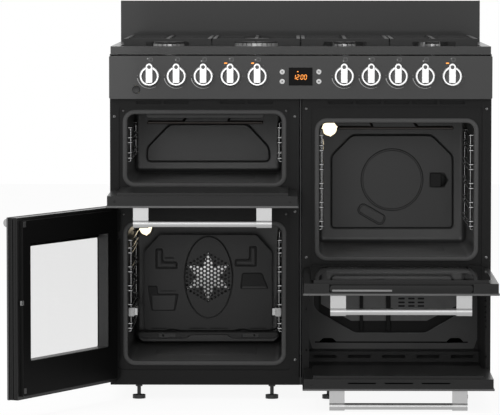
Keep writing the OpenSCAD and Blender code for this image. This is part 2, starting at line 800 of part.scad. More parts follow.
module tall_oven_liner() {
  color([0.2, 0.2, 0.2])
    liner(column_x, tall_z0, tall_h, tall_recess, cut_corners(334, 123, 133, 61, 58, 40)) {
      for (s = [-1, 1]) back_hole(s * loop_legs, tall_h / 2 - 18, leg_hole);
      back_hole(lamp_dx, tall_h / 2 - lamp_dz, lamp_r + free_gap);
    }
}

fan_x = 0;
fan_dz = 9;
fan_z = oven_z0 + oven_h / 2 + fan_dz;
ring_r = 78;
leg_x = 20;
leg_dz = sqrt(ring_r * ring_r - leg_x * leg_x);
lamp_r = 17;
lamp_dx = 30.5 - mouth_half;
lamp_dz = 34;
lamp_out = 10;       // how far a lamp's straight glass stands out of the back wall
lamp_back = 24;      // depth of a lamp's holder behind the wall

step_d = 60;
step_h = 28;
// Storage compartment: folded box with a step at the rear, the wide cut-out in
// its back plate and the plate behind it
module storage_liner() {
  y0 = frame_y + frame_t;
  y1 = y0 + storage_d;
  t = skin_t;
  roof = storage_z1 + 4;
  color([0.16, 0.16, 0.16]) {
    difference() {
      span([storage_x0 - t, y0, storage_z0 - t], [storage_x1 + t, y1 + t, roof + t]);
      span([storage_x0, y0 - cut, storage_z0], [storage_x1, y1 - step_d, roof]);
      span([storage_x0, y1 - step_d - cut, storage_z0 + step_h], [storage_x1, y1, roof]);
      span([storage_x0 + 8, y1 - step_d + t, storage_z0 - t - cut],
           [storage_x1 - 8, y1 - t, storage_z0 + step_h - t]);
      front_extrude(y1 - cut, t + 2 * cut) polygon([
        [storage_x0 + 28, roof - 8], [storage_x0 + 28, storage_z0 + 95],
        [storage_x0 + 120, storage_z0 + 40], [storage_x1 - 120, storage_z0 + 40],
        [storage_x1 - 28, storage_z0 + 95], [storage_x1 - 28, roof - 8]]);
      for (i = [0:4]) front_extrude(y1 - step_d - cut, t + 2 * cut)
        translate([storage_x0 + 45 + i * (storage_x1 - storage_x0 - 90) / 4, storage_z0 + 14])
          round_rect(62, 9, 3);
    }
    span([storage_x0 + 18, y1 + t + 30, storage_z0 + 75],
         [storage_x1 - 18, y1 + 2 * t + 30, roof - 8]);
    for (x = [storage_x0 + 4, storage_x1 - 24])
      span([x, y1 + t, roof - 34], [x + 20, y1 + t + 30, roof - 12]);
  }
}

// Three rubber gaskets around the heated cavities
module door_gaskets() {
  depth = recess_d + frame_gap - free_gap;
  color([0.3, 0.3, 0.3]) for (c = [[-column_x, grill_z0, grill_h],
    [-column_x, oven_z0, oven_h], [column_x, tall_z0, tall_h]])
    translate([c[0], 0, c[1] + c[2] / 2]) front_extrude(flange_y - depth, depth) difference() {
      round_rect(mouth_w + 2 * gasket_w, c[2] + 2 * gasket_w, cavity_r + gasket_w);
      round_rect(mouth_w, c[2], cavity_r);
    }
}

cover_y = cavity_back - 42;
cover_w = 349;
cover_h = 261;
cover_dz = -6;

// Perforated cover in front of the fan, standing off the oven's back wall
module fan_cover() {
  zc = oven_z0 + oven_h / 2 + cover_dz;
  hole_pitch = 11;
  rings = 6;
  color([0.14, 0.14, 0.14]) difference() {
    union() {
      translate([-column_x, 0, zc]) front_extrude(cover_y, 1.5)
        polygon(cut_corners(cover_w, cover_h / 2, cover_h / 2, 43, 47, 8));
      for (s = [-1, 1])
        span([-column_x + s * (cover_w / 2 - 1) - 1, cover_y, zc - 70],
             [-column_x + s * (cover_w / 2 - 1) + 1, cavity_back, zc + 70]);
    }
    for (a = [-rings:rings], b = [-rings:rings]) if (abs(a + b) <= rings)
      translate([-column_x + fan_x + hole_pitch * b * sqrt(3) / 2,
                 cover_y - cut, fan_z + hole_pitch * (a + b / 2)])
        rotate([-90, 0, 0]) cylinder(r = 3.6, h = 1.5 + 2 * cut, $fn = 24);
  }
}

fan_y = cavity_back - 12;
fan_w = 20;
fan_hub_r = 12;
shaft_r = 4;
shaft_in = 20;       // how far the fan's shaft reaches into the motor
motor_y = cavity_back + liner_t + 18;
motor_r = 32;

// Convection fan: hub, back disc, blades and shaft
module fan_blade() {
  color([0.6, 0.6, 0.62]) translate([-column_x + fan_x, fan_y, fan_z]) rotate([90, 0, 0]) {
    cylinder(r = fan_hub_r, h = fan_w);
    cylinder(r = fan_r, h = 1.5);
    for (i = [0:fan_blades - 1]) rotate(i * 360 / fan_blades)
      translate([fan_hub_r - 2, -0.75, 0]) cube([fan_r - fan_hub_r, 1.5, fan_w]);
    translate([0, 0, fan_y - motor_y - shaft_in])
      cylinder(r = shaft_r, h = motor_y - fan_y + shaft_in + 2);
  }
}

// Fan motor on its three-legged bracket behind the oven
module fan_motor() {
  color([0.5, 0.5, 0.5]) translate([-column_x + fan_x, motor_y, fan_z]) rotate([-90, 0, 0])
    difference() {
      union() {
        cylinder(r = motor_r, h = 44);
        for (i = [0:2]) rotate(i * 120 + 30) translate([motor_r - 4, -8, 0]) {
          cube([44, 16, 2]);
          translate([42, 0, -(motor_y - cavity_back - liner_t)])
            cube([2, 16, motor_y - cavity_back - liner_t + 2]);
        }
      }
      translate([0, 0, -cut]) cylinder(r = shaft_r + fit_gap, h = shaft_in + 2 + cut);
    }
}

// Grill loop, ring element and the tall oven's upper and lower loops
module heating_elements() {
  r = element_r;
  rear = cavity_back + 12;
  fan_ring_y = cavity_back - 22;
  color([0.25, 0.2, 0.18]) {
    heat_loop(-column_x, grill_z0 + grill_h - 25, 150, flange_y + 60);
    heat_loop(column_x, tall_z0 + tall_h - 18, 150, flange_y + 90);
    translate([-column_x + fan_x, fan_ring_y, fan_z]) rotate([90, 0, 0])
      rotate_extrude() translate([ring_r, 0]) circle(r);
    for (s = [-1, 1])
      bar([-column_x + fan_x + s * leg_x, rear, fan_z - leg_dz],
          [-column_x + fan_x + s * leg_x, fan_ring_y, fan_z - leg_dz], r);
  }
}

// Tube loop under a cavity's roof, fed through the back wall
module heat_loop(xc, z, half, y0) {
  rear = cavity_back + 12;
  y1 = y0 + loop_d;
  bent_bar([[xc - loop_legs, rear, z], [xc - loop_legs, y1, z], [xc - half, y1, z],
            [xc - half, y0, z], [xc + half, y0, z], [xc + half, y1, z],
            [xc + loop_legs, y1, z], [xc + loop_legs, rear, z]], element_r);
}

// Oven lamps: glass dome in front of its holder
module oven_lamps() {
  for (c = [[-column_x, oven_z0 + oven_h - 12], [column_x, tall_z0 + tall_h]])
    translate([c[0] + lamp_dx, cavity_back, c[1] - lamp_dz]) rotate([90, 0, 0]) {
      color([1, 0.95, 0.8]) {
        translate([0, 0, -lamp_back]) cylinder(r = lamp_r, h = lamp_back + lamp_out);
        cylinder(r = lamp_r + 3, h = 4);
        translate([0, 0, lamp_out]) sphere(lamp_r);
      }
    }
}

// Wire ladders on both sides of each heated cavity; heights from the cavity floor,
// in pairs that guide one shelf each
rung_pitch = 50;
rung_pair = 13;
function shelf_rungs(z) = [for (k = [0:4], dz = [0, rung_pair]) z + k * rung_pitch + dz];
grill_rungs = [63, 77, 104, 117];
oven_rungs = shelf_rungs(83);
tall_rungs = shelf_rungs(77);
rack_y0 = flange_y + 25;
rack_y1 = cavity_back - 60;

// One wire ladder beside the wall on side s: two stouter uprights with their stays to
// the wall, and the rungs between them
upright_r = wire_r + 0.5;
upright_more = 9;    // how far an upright goes on past the lowest rung
stay_off = 5.5;      // distance of a stay from the next rung
module ladder(x, s, z0, rungs, head_z) {
  wall_x = x + s * rack_gap;
  for (y = [rack_y0, rack_y1]) {
    bar([x, y, z0 + rungs[0] - upright_more], [x, y, z0 + head_z + upright_r], upright_r);
    for (z = [rungs[0], head_z])
      bar([x, y, z0 + z - stay_off], [wall_x, y, z0 + z - stay_off], wire_r);
  }
  for (z = concat(rungs, [head_z])) bar([x, rack_y0, z0 + z], [x, rack_y1, z0 + z], wire_r);
}

module side_racks() {
  color([0.75, 0.75, 0.76]) for (s = [-1, 1]) {
    reach = mouth_half - rack_gap;
    ladder(-column_x + s * reach, s, grill_z0, grill_rungs, 143);
    ladder(-column_x + s * reach, s, oven_z0, oven_rungs, 316);
    ladder(column_x + s * reach, s, tall_z0, tall_rungs, 317);
  }
  color([0.8, 0.8, 0.8]) for (s = [-1, 1])
    span([rail_x(s) - rail_w / 2, rack_y0 - wire_r, runner_z - runner_h / 2],
         [rail_x(s) + rail_w / 2, rack_y1 + wire_r, runner_z + runner_h / 2]);
}

rail_w = 4;
rail_sunk = 0.5;     // how deep a rail is welded into the wires
runner_w = 7;
runner_h = 22;
runner_z = oven_z0 + 127;
function rail_x(s) = -column_x + s * (mouth_half - rack_gap - wire_r - rail_w / 2 + rail_sunk);
function runner_x(s) = rail_x(s) - s * (rail_w / 2 + runner_w / 2 + 0.3);

// Sliding members of the pair of telescopic shelf runners
module shelf_runners() {
  color([0.85, 0.85, 0.86]) for (s = [-1, 1])
    span([runner_x(s) - runner_w / 2, rack_y0, runner_z - runner_h / 2 + 2],
         [runner_x(s) + runner_w / 2, rack_y1 - 10, runner_z + runner_h / 2 - 2]);
}

// ---------- hinges ----------

lug_w = 16;          // width of a hinge lug
lug_r = 4.8;         // radius of the eye round the pin
drop_hinges = [
  [-door_x, grill_z + grill_rise], [door_x, tall_z + tall_rise],
  [door_x, doors_z + storage_rise]
];
hinge_off = 180;     // distance of the hinges from the middle of a door
side_hinges = [doors_z + 45, oven_top - 75];
notch_gap = 2;       // free space beside a lug
pin_in = 14;         // how far a pin reaches into the door frame

// Hinge lugs on the front frames, with their pins
module door_hinges() {
  for (h = drop_hinges, s = [-1, 1]) {
    x = h[0] + s * hinge_off;
    color([0.45, 0.45, 0.46]) difference() {
      union() {
        span([x - lug_w / 2, hinge_y, h[1] - lug_r], [x + lug_w / 2, frame_y, h[1] + lug_r]);
        bar([x - lug_w / 2, hinge_y, h[1]], [x + lug_w / 2, hinge_y, h[1]], lug_r);
      }
      bar([x - lug_w, hinge_y, h[1]], [x + lug_w, hinge_y, h[1]], pin_r + fit_gap);
    }
    reach = lug_w / 2 + notch_gap + pin_in;
    color([0.7, 0.7, 0.7]) bar([x - reach, hinge_y, h[1]], [x + reach, hinge_y, h[1]], pin_r);
  }
  for (z = side_hinges) {
    x = side_hinge_x;
    y = side_hinge_y;
    color([0.45, 0.45, 0.46]) difference() {
      union() {
        span([x - 4, y, z - lug_w / 2], [x + 4, frame_y, z + lug_w / 2]);
        bar([x, y, z - lug_w / 2], [x, y, z + lug_w / 2], 4);
      }
      bar([x, y, z - lug_w], [x, y, z + lug_w], pin_r + fit_gap);
    }
    reach = lug_w / 2 + notch_gap + pin_in;
    color([0.7, 0.7, 0.7]) bar([x, y, z - reach], [x, y, z + reach], pin_r);
  }
}

gland_r = 11;

// Mains terminal box with its open cable gland in the back panel
module mains_terminal() {
  y0 = back_y - skin_t - 45;
  color([0.85, 0.85, 0.82]) {
    span([terminal_x - 40, y0, terminal_z], [terminal_x + 40, back_y - skin_t, terminal_z + 60]);
  }
  color([0.1, 0.1, 0.1]) difference() {
    bar([terminal_x, back_y - 30, terminal_z - 25], [terminal_x, back_y + 18, terminal_z - 25],
        gland_r);
    bar([terminal_x, back_y - 31, terminal_z - 25], [terminal_x, back_y + 19, terminal_z - 25],
        gland_r - 4);
  }
}

// ---------- doors, drawn closed and turned open ----------

// Outer glass of a door: middle x, lower edge, height
module door_glass(xc, z0, h) {
  front_extrude(front_y, glass_t) translate([xc, z0 + h / 2]) round_rect(door_w, h, 3);
}

// Handle of a door, near its upper edge: rod between two brackets
module door_handle(xc, z0, h) {
  z = z0 + h - handle_drop;
  y = front_y - handle_reach;
  half = handle_len / 2;
  in = 6;
  color([0.8, 0.8, 0.81]) {
    for (s = [-1, 1]) {
      x0 = xc + (s < 0 ? -half : half - bracket_len);
      difference() {
        union() {
          span([x0, y, z - bracket_r + 4], [x0 + bracket_len, front_y, z + bracket_r - 4]);
          bar([x0, y, z], [x0 + bracket_len, y, z], bracket_r);
        }
        bar([x0 + (s < 0 ? bracket_len - in : -cut), y, z],
            [x0 + (s < 0 ? bracket_len + cut : in), y, z], rod_r + fit_gap);
      }
    }
    bar([xc - half + bracket_len - in, y, z], [xc + half - bracket_len + in, y, z], rod_r);
  }
}

frame_low = 6;       // how far a drop-down door's frame reaches below the hinge line
frame_side = 3;      // how much narrower than the glass the frame is
frame_head = 1;      // how much lower than the glass the frame ends
pan_t = 8;           // depth of the raised inner pan
in_y = front_y + door_t;

// Hollow frame of a drop-down door: middle x, lower edge, height, rise, window, slots
module drop_frame(xc, z0, h, rise, window, edge_slot) {
  half = door_w / 2 - frame_side;
  low = z0 + rise - frame_low;
  top = z0 + h - frame_head;
  difference() {
    union() {
      span([xc - half, front_y + glass_t, low], [xc + half, in_y - pan_t, top]);
      span([xc - half + pan_inset - frame_side, in_y - pan_t, low],
           [xc + half - pan_inset + frame_side, in_y, top - 8]);
    }
    span([xc - half + stile_w, window ? front_y : front_y + glass_t + 1.5, low + stile_w],
         [xc + half - stile_w, window ? in_y + cut : in_y - 1.5, top - stile_w + 8]);
    if (window) span(
      [xc - half + stile_w - 8 - free_gap, in_y - inner_glass_t, low + stile_w - 8 - free_gap],
      [xc + half - stile_w + 8 + free_gap, in_y + cut, top - stile_w + 16 + free_gap]);
    if (edge_slot) span([xc - 180, front_y + glass_t + 3, top - stile_w],
                        [xc + 180, front_y + glass_t + 23, top + cut]);
    for (s = [-1, 1]) {
      x = xc + s * hinge_off;
      span([x - lug_w / 2 - notch_gap, front_y, low - cut],
           [x + lug_w / 2 + notch_gap, in_y + cut, z0 + rise + lug_r + 1.5]);
      reach = lug_w / 2 + notch_gap + pin_in + 1;
      bar([x - reach, hinge_y, z0 + rise], [x + reach, hinge_y, z0 + rise], pin_r + fit_gap);
    }
  }
}

// Inner glass of a drop-down door, lying in the rebate of its frame
module drop_inner_glass(xc, z0, h, rise) {
  half = door_w / 2 - frame_side;
  span([xc - half + stile_w - 8, in_y - inner_glass_t, z0 + rise - frame_low + stile_w - 8],
       [xc + half - stile_w + 8, in_y, z0 + h - frame_head - stile_w + 16]);
}

module grill_door_glass() {
  color([0.05, 0.05, 0.05]) drop_open(grill_z + grill_rise)
    door_glass(-door_x, grill_z, grill_door_h);
}

module grill_door_frame() {
  color([0.16, 0.16, 0.16]) drop_open(grill_z + grill_rise)
    drop_frame(-door_x, grill_z, grill_door_h, grill_rise, false, false);
}

module grill_door_handle() {
  drop_open(grill_z + grill_rise) door_handle(-door_x, grill_z, grill_door_h);
}

module tall_door_glass() {
  color([0.05, 0.05, 0.05]) drop_open(tall_z + tall_rise)
    door_glass(door_x, tall_z, tall_door_h);
}

module tall_door_frame() {
  color([0.16, 0.16, 0.16]) drop_open(tall_z + tall_rise)
    drop_frame(door_x, tall_z, tall_door_h, tall_rise, true, true);
}

module tall_door_inner_glass() {
  color([0.1, 0.1, 0.1]) drop_open(tall_z + tall_rise)
    drop_inner_glass(door_x, tall_z, tall_door_h, tall_rise);
}

module tall_door_handle() {
  drop_open(tall_z + tall_rise) door_handle(door_x, tall_z, tall_door_h);
}

module storage_door_panel() {
  color([0.08, 0.08, 0.08]) drop_open(doors_z + storage_rise)
    door_glass(door_x, doors_z, storage_door_h);
}

module storage_door_frame() {
  color([0.16, 0.16, 0.16]) drop_open(doors_z + storage_rise)
    drop_frame(door_x, doors_z, storage_door_h, storage_rise, false, false);
}

module storage_door_handle() {
  drop_open(doors_z + storage_rise) door_handle(door_x, doors_z, storage_door_h);
}

module oven_door_glass() {
  color([0.05, 0.05, 0.05]) side_open_place() door_glass(-door_x, doors_z, oven_door_h);
}

window_w = door_w - 2 * 52;
window_lift = 95.6;  // window's lower edge above the lower edge of the side-hung door
window_drop = 67;    // window's upper edge below the upper edge of that door
window_h = oven_door_h - window_lift - window_drop;

// Frame of the side-hung door with its window
module oven_door_frame() {
  x0 = -door_x - door_w / 2;
  x1 = -door_x + door_w / 2 - frame_side;
  z1 = oven_top - frame_head;
  wx = -door_x - window_w / 2;
  wz = doors_z + window_lift;
  color([0.16, 0.16, 0.16]) side_open_place() difference() {
    union() {
      span([x0, front_y + glass_t, doors_z + 1], [x1, in_y - pan_t, z1]);
      span([x0, in_y - pan_t, doors_z + 9], [x1 - 14, in_y, z1 - 8]);
    }
    span([wx, front_y, wz], [wx + window_w, in_y + cut, wz + window_h]);
    span([wx - 20 - free_gap, in_y - inner_glass_t, wz - 20 - free_gap],
         [wx + window_w + 20 + free_gap, in_y + cut, wz + window_h + 20 + free_gap]);
    for (z = side_hinges) {
      span([x0 - cut, side_hinge_y - 11, z - lug_w / 2 - notch_gap],
           [side_hinge_x + 6, in_y + cut, z + lug_w / 2 + notch_gap]);
      reach = lug_w / 2 + notch_gap + pin_in + 1;
      bar([side_hinge_x, side_hinge_y, z - reach], [side_hinge_x, side_hinge_y, z + reach],
          pin_r + fit_gap);
    }
  }
}

module oven_door_inner_glass() {
  wx = -door_x - window_w / 2;
  wz = doors_z + window_lift;
  color([0.1, 0.1, 0.1]) side_open_place()
    span([wx - 20, in_y - inner_glass_t, wz - 20],
         [wx + window_w + 20, in_y, wz + window_h + 20]);
}

module oven_door_handle() {
  side_open_place() door_handle(-door_x, doors_z, oven_door_h);
}

// ---------- the parts ----------

cabinet_walls();
back_panel();
base_tray();
levelling_feet();
front_frames();
hob_plate();
splashback();
control_panel();
clock_display();
burner_bases();
gas_rail();
control_bodies();
grill_liner();
fan_oven_liner();
tall_oven_liner();
storage_liner();
door_gaskets();
fan_cover();
fan_motor();
heating_elements();
oven_lamps();
side_racks();
door_hinges();
mains_terminal();
grill_door_glass();
grill_door_frame();
grill_door_handle();
oven_door_glass();
oven_door_frame();
oven_door_inner_glass();
oven_door_handle();
tall_door_glass();
tall_door_frame();
tall_door_inner_glass();
tall_door_handle();
storage_door_panel();
storage_door_frame();
storage_door_handle();
for (j = [1:10]) knob(j);
ignition_button();
for (n = [0:3]) clock_button(n);
fan_blade();
burner_caps();
for (i = [1:4]) pan_support(i);
shelf_runners();
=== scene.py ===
"""Looks of the range cooker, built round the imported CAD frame."""

import math

import bmesh
import bpy
from mathutils import Matrix, Vector


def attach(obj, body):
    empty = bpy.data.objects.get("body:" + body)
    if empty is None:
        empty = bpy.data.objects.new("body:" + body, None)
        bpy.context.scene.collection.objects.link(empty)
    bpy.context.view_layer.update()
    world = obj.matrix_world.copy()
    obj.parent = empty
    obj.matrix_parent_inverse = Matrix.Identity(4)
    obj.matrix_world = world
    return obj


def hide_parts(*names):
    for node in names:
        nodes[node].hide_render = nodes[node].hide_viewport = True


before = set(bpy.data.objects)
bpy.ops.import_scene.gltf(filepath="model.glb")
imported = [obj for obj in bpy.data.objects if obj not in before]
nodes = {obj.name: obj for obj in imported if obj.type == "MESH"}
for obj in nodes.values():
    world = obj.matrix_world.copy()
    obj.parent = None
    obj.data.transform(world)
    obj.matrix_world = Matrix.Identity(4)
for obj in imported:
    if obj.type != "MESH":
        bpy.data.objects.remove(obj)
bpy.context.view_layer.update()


# ---------------------------------------------------------------- materials


def put(tree, kind, values=None, operation=None):
    """New node in a tree with the given values on its inputs."""
    made = tree.nodes.new(kind)
    if operation:
        made.operation = operation
    for key, value in (values or {}).items():
        made.inputs[key].default_value = value
    return made


def link(tree, source, output, target, entry):
    tree.links.new(source.outputs[output], target.inputs[entry])


def empty_tree(block):
    """Node tree of a material or world, with all its nodes taken out."""
    block.use_nodes = True
    block.node_tree.nodes.clear()
    return block.node_tree


def grey(v):
    return (v, v, v)


def plain(name, color, rough, metal=0.0, coat=0.0, coat_rough=0.05, spec=0.5):
    mat = bpy.data.materials.new(name)
    mat.use_nodes = True
    bsdf = mat.node_tree.nodes["Principled BSDF"]
    for key, value in (("Base Color", (*color, 1)), ("Roughness", rough), ("Metallic", metal),
                       ("Coat Weight", coat), ("Coat Roughness", coat_rough),
                       ("Specular IOR Level", spec)):
        bsdf.inputs[key].default_value = value
    return mat, mat.node_tree, bsdf


def noisy(name, color, rough, scale, amount, bump=0.0, **more):
    """A finish with fine procedural grain in its colour and, with bump, in its surface."""
    mat, tree, bsdf = plain(name, color, rough, **more)
    coords = put(tree, "ShaderNodeTexCoord")
    noise = put(tree, "ShaderNodeTexNoise", {"Scale": scale, "Detail": 4})
    link(tree, coords, "Object", noise, "Vector")
    mix = put(tree, "ShaderNodeMixRGB", {"Color1": (*[c * (1 - amount) for c in color], 1),
                                         "Color2": (*[min(1, c * (1 + amount)) for c in color], 1)})
    link(tree, noise, "Fac", mix, "Fac")
    link(tree, mix, "Color", bsdf, "Base Color")
    if bump:
        relief = put(tree, "ShaderNodeBump", {"Strength": bump, "Distance": 0.0003})
        link(tree, noise, "Fac", relief, "Height")
        link(tree, relief, "Normal", bsdf, "Normal")
    return mat


def brushed(name, color, rough, stretch):
    """Brushed metal: fine streaks along one direction."""
    mat, tree, bsdf = plain(name, color, rough, metal=1.0)
    coords = put(tree, "ShaderNodeTexCoord")
    mapping = put(tree, "ShaderNodeMapping", {"Scale": stretch})
    noise = put(tree, "ShaderNodeTexNoise", {"Scale": 300, "Detail": 3})
    ramp = put(tree, "ShaderNodeMapRange", {"To Min": rough * 0.7, "To Max": rough * 1.4})
    link(tree, coords, "Object", mapping, "Vector")
    link(tree, mapping, "Vector", noise, "Vector")
    link(tree, noise, "Fac", ramp, "Value")
    link(tree, ramp, "Result", bsdf, "Roughness")
    return mat


def glass(name, color, mirror):
    """Thin glass that shadow rays pass: clear, with a gloss that grows towards grazing angles."""
    mat = bpy.data.materials.new(name)
    tree = empty_tree(mat)
    out = put(tree, "ShaderNodeOutputMaterial")
    mix = put(tree, "ShaderNodeMixShader")
    clear = put(tree, "ShaderNodeBsdfTransparent", {"Color": (*color, 1)})
    gloss = put(tree, "ShaderNodeBsdfGlossy", {"Color": (1, 1, 1, 1), "Roughness": 0.02})
    layer = put(tree, "ShaderNodeLayerWeight")
    power = put(tree, "ShaderNodeMath", {1: 5}, "POWER")
    gain = put(tree, "ShaderNodeMath", {1: 0.9, 2: mirror}, "MULTIPLY_ADD")
    link(tree, layer, "Facing", power, 0)
    link(tree, power, "Value", gain, 0)
    link(tree, gain, "Value", mix, "Fac")
    link(tree, clear, "BSDF", mix, 1)
    link(tree, gloss, "BSDF", mix, 2)
    link(tree, mix, "Shader", out, "Surface")
    return mat


def glow(name, color, strength):
    mat, _, bsdf = plain(name, color, 0.3)
    bsdf.inputs["Emission Color"].default_value = (*color, 1)
    bsdf.inputs["Emission Strength"].default_value = strength
    return mat


M_BODY = noisy("anthracite enamel", grey(0.030), 0.34, 900, 0.07, coat=0.2, spec=0.28)
M_HOB = noisy("hob enamel", grey(0.026), 0.3, 900, 0.08, coat=0.2, spec=0.25)
# the same enamel as the body, set darker: painted shade for the splashback's angle
M_SHADED_SPLASHBACK = noisy("splashback painted darker", grey(0.021), 0.34, 900, 0.07, coat=0.1, spec=0.22)
M_FRAME = noisy("frame enamel", grey(0.0075), 0.36, 1400, 0.5, bump=0.25, spec=0.12)
M_CAVITY = noisy("cavity enamel", grey(0.042), 0.33, 1500, 0.35, bump=0.2, spec=0.4)
M_FAN_CAVITY = noisy("fan cavity enamel", grey(0.034), 0.32, 1500, 0.4, bump=0.2, spec=0.4)
M_COVER = noisy("fan cover enamel", grey(0.015), 0.36, 1500, 0.4, bump=0.25, spec=0.3)
# near-black for grooves, pocket floors and the socket collar: painted shade
M_PAINTED_RECESS_SHADE = noisy("painted recess shade", grey(0.0045), 0.4, 1500, 0.4, bump=0.2, spec=0.2)
M_DOOR = noisy("door pan enamel", grey(0.010), 0.3, 1200, 0.3, coat=0.08, spec=0.2)
# edge grey: real on the socket nut and door clips; a painted highlight on the fan cover's ridge, lip and
# bin face, and painted shade lines on the back-wall beads
M_NUT_GREY_AND_PAINTED_LINES = noisy("door edge", grey(0.032), 0.42, 700, 0.15, spec=0.35)
# black steel for black parts; also painted shade in slots, gaps and behind the vents
M_DARK_STEEL_AND_SHADE = noisy("black steel", grey(0.006), 0.5, 800, 0.3, spec=0.25)
# satin black for the ignition cap, springs and element shield; on the fan blade it is painted shade
M_SATIN_AND_FAN_SHADE = noisy("black satin and painted fan shade", grey(0.01), 0.35, 900, 0.25, spec=0.35)
M_GLASS_BLACK = noisy("black glass", grey(0.004), 0.05, 500, 0.12, coat=0.06, coat_rough=0.02,
                      spec=0.08)
M_GLASS = glass("clear glass", grey(0.93), 0.02)
M_STEEL = brushed("brushed steel", grey(0.42), 0.3, (1, 60, 60))
M_RING = brushed("knob ring", grey(0.66), 0.3, (30, 30, 30))
M_ZINC = noisy("zinc", grey(0.4), 0.4, 60, 0.12, metal=0.9)
M_CHROME = brushed("chrome wire", grey(0.36), 0.2, (40, 2, 40))
M_IRON = noisy("cast iron", grey(0.014), 0.6, 1600, 0.3, bump=0.5, spec=0.4)
M_CAP = noisy("cap enamel", grey(0.01), 0.38, 1200, 0.2, spec=0.4)
M_BURNER = noisy("burner alloy", grey(0.6), 0.34, 600, 0.12, metal=1.0)
# light alloy for the star behind the fan cover: painted light of the lit fan
M_LIT_FAN_STAR = noisy("lit fan star paint", grey(0.8), 0.32, 260, 0.25, metal=0.35)
M_BRASS = noisy("brass", (0.7, 0.52, 0.22), 0.3, 400, 0.1, metal=1.0)
M_RUBBER = noisy("gasket", grey(0.085), 0.7, 900, 0.2, spec=0.15)
M_FOOT = noisy("foot plastic", grey(0.008), 0.5, 700, 0.25)
M_WHITE = noisy("white plastic", grey(0.72), 0.3, 500, 0.03)
M_CAP_GREY = noisy("runner cap", grey(0.52), 0.35, 700, 0.06)
M_PRINT = noisy("print", grey(0.42), 0.6, 2500, 0.12)
M_PRINT_DIM = noisy("print dim", grey(0.18), 0.6, 2500, 0.15)
M_AMBER = glow("amber", (1.0, 0.32, 0.04), 1.1)
M_LAMP = glow("lamp glass", (1.0, 0.86, 0.62), 1.7)
# near-black stand-in for holes, slots, grooves and gaps: painted shade
M_PAINTED_OPENING_SHADE = noisy("painted opening shade", grey(0.002), 0.9, 400, 0.2, spec=0.0)
M_WALL = noisy("storage wall enamel", grey(0.18), 0.45, 1300, 0.2, bump=0.15, spec=0.25)
M_WELL = noisy("knob well", grey(0.07), 0.35, 500, 0.2, spec=0.5)
M_INNER = noisy("inner glass print", grey(0.0052), 0.4, 500, 0.15, spec=0.03)
M_STORAGE = noisy("storage enamel", grey(0.026), 0.4, 1300, 0.25, bump=0.15, spec=0.25)
# lighter copy of the cavity enamel for the upward floor faces: painted light
M_LIT_CAVITY_FLOOR = noisy("lit cavity floor paint", grey(0.12), 0.36, 1500, 0.3, bump=0.2, spec=0.4)
M_HEATER = noisy("heater tube", (0.04, 0.034, 0.031), 0.45, 500, 0.3, metal=0.6)
M_PLATE = noisy("galvanised plate", grey(0.20), 0.42, 40, 0.16, metal=0.2)
M_SPACER = noisy("window spacer", grey(0.05), 0.4, 300, 0.2, spec=0.3)
M_GLASS_EDGE = noisy("ground glass edge", grey(0.10), 0.3, 900, 0.1, spec=0.4)
M_SCREW = noisy("screw", grey(0.22), 0.35, 800, 0.2, metal=0.8)

for mat, names in (
        (M_BODY, "cabinet_walls control_panel"),
        (M_HOB, "hob_plate"),
        (M_SHADED_SPLASHBACK, "splashback"),
        (M_FRAME, "front_frames grill_liner fan_oven_liner tall_oven_liner"),
        (M_STORAGE, "storage_liner"),
        (M_COVER, "fan_cover"),
        (M_DOOR, "grill_door_frame oven_door_frame tall_door_frame storage_door_frame"),
        (M_GLASS_BLACK, "grill_door_glass oven_door_glass tall_door_glass storage_door_panel"),
        (M_GLASS_BLACK, "clock_display"),
        (M_GLASS, "oven_door_inner_glass tall_door_inner_glass"),
        (M_STEEL, "grill_door_handle oven_door_handle tall_door_handle storage_door_handle"),
        (M_STEEL, " ".join(f"knob_{i}" for i in range(1, 11))),
        (M_WHITE, "mains_terminal " + " ".join(f"clock_button_{i}" for i in range(1, 5))),
        (M_IRON, " ".join(f"pan_support_{i}" for i in range(1, 5))),
        (M_ZINC, "back_panel gas_rail fan_motor door_hinges"),
        (M_BRASS, "control_bodies"),
        (M_BURNER, "burner_bases"),
        (M_CAP, "burner_caps"),
        (M_CHROME, "side_racks shelf_runners"),
        # the fan blade in satin black is painted shade, so only the star shows bright
        (M_SATIN_AND_FAN_SHADE, "ignition_button fan_blade"),
        (M_DARK_STEEL_AND_SHADE, "base_tray"),
        (M_FOOT, "levelling_feet"),
        (M_RUBBER, "door_gaskets"),
        (M_HEATER, "heating_elements"),
        (M_LAMP, "oven_lamps")):
    for name in names.split():
        nodes[name].data.materials.clear()
        nodes[name].data.materials.append(mat)


# ------------------------------------------------------------------ helpers

# the frame's own sizes, in metres: places across, depths and heights
FRONT = -0.300
GLASS_T = 0.005
HINGE_Y = -0.288
COL = 0.252
DOOR_X = 0.251
DOOR_W = 0.492
DOOR_TOP = 0.7900
STORAGE_TOP = 0.3120


def drop_matrix(z):
    """From the closed to the open place of a drop-down door with its hinge line at height z."""
    p = Vector((0, HINGE_Y, z))
    return Matrix.Translation(p) @ Matrix.Rotation(math.radians(90), 4, "X") @ Matrix.Translation(-p)


GRILL = drop_matrix(0.538)
TALL = drop_matrix(0.333)
STORAGE = drop_matrix(0.0686)
SIDE_P = Vector((-0.492, -0.280, 0))
SIDE = (Matrix.Translation(SIDE_P) @ Matrix.Rotation(math.radians(-118), 4, "Z")
        @ Matrix.Translation(-SIDE_P))


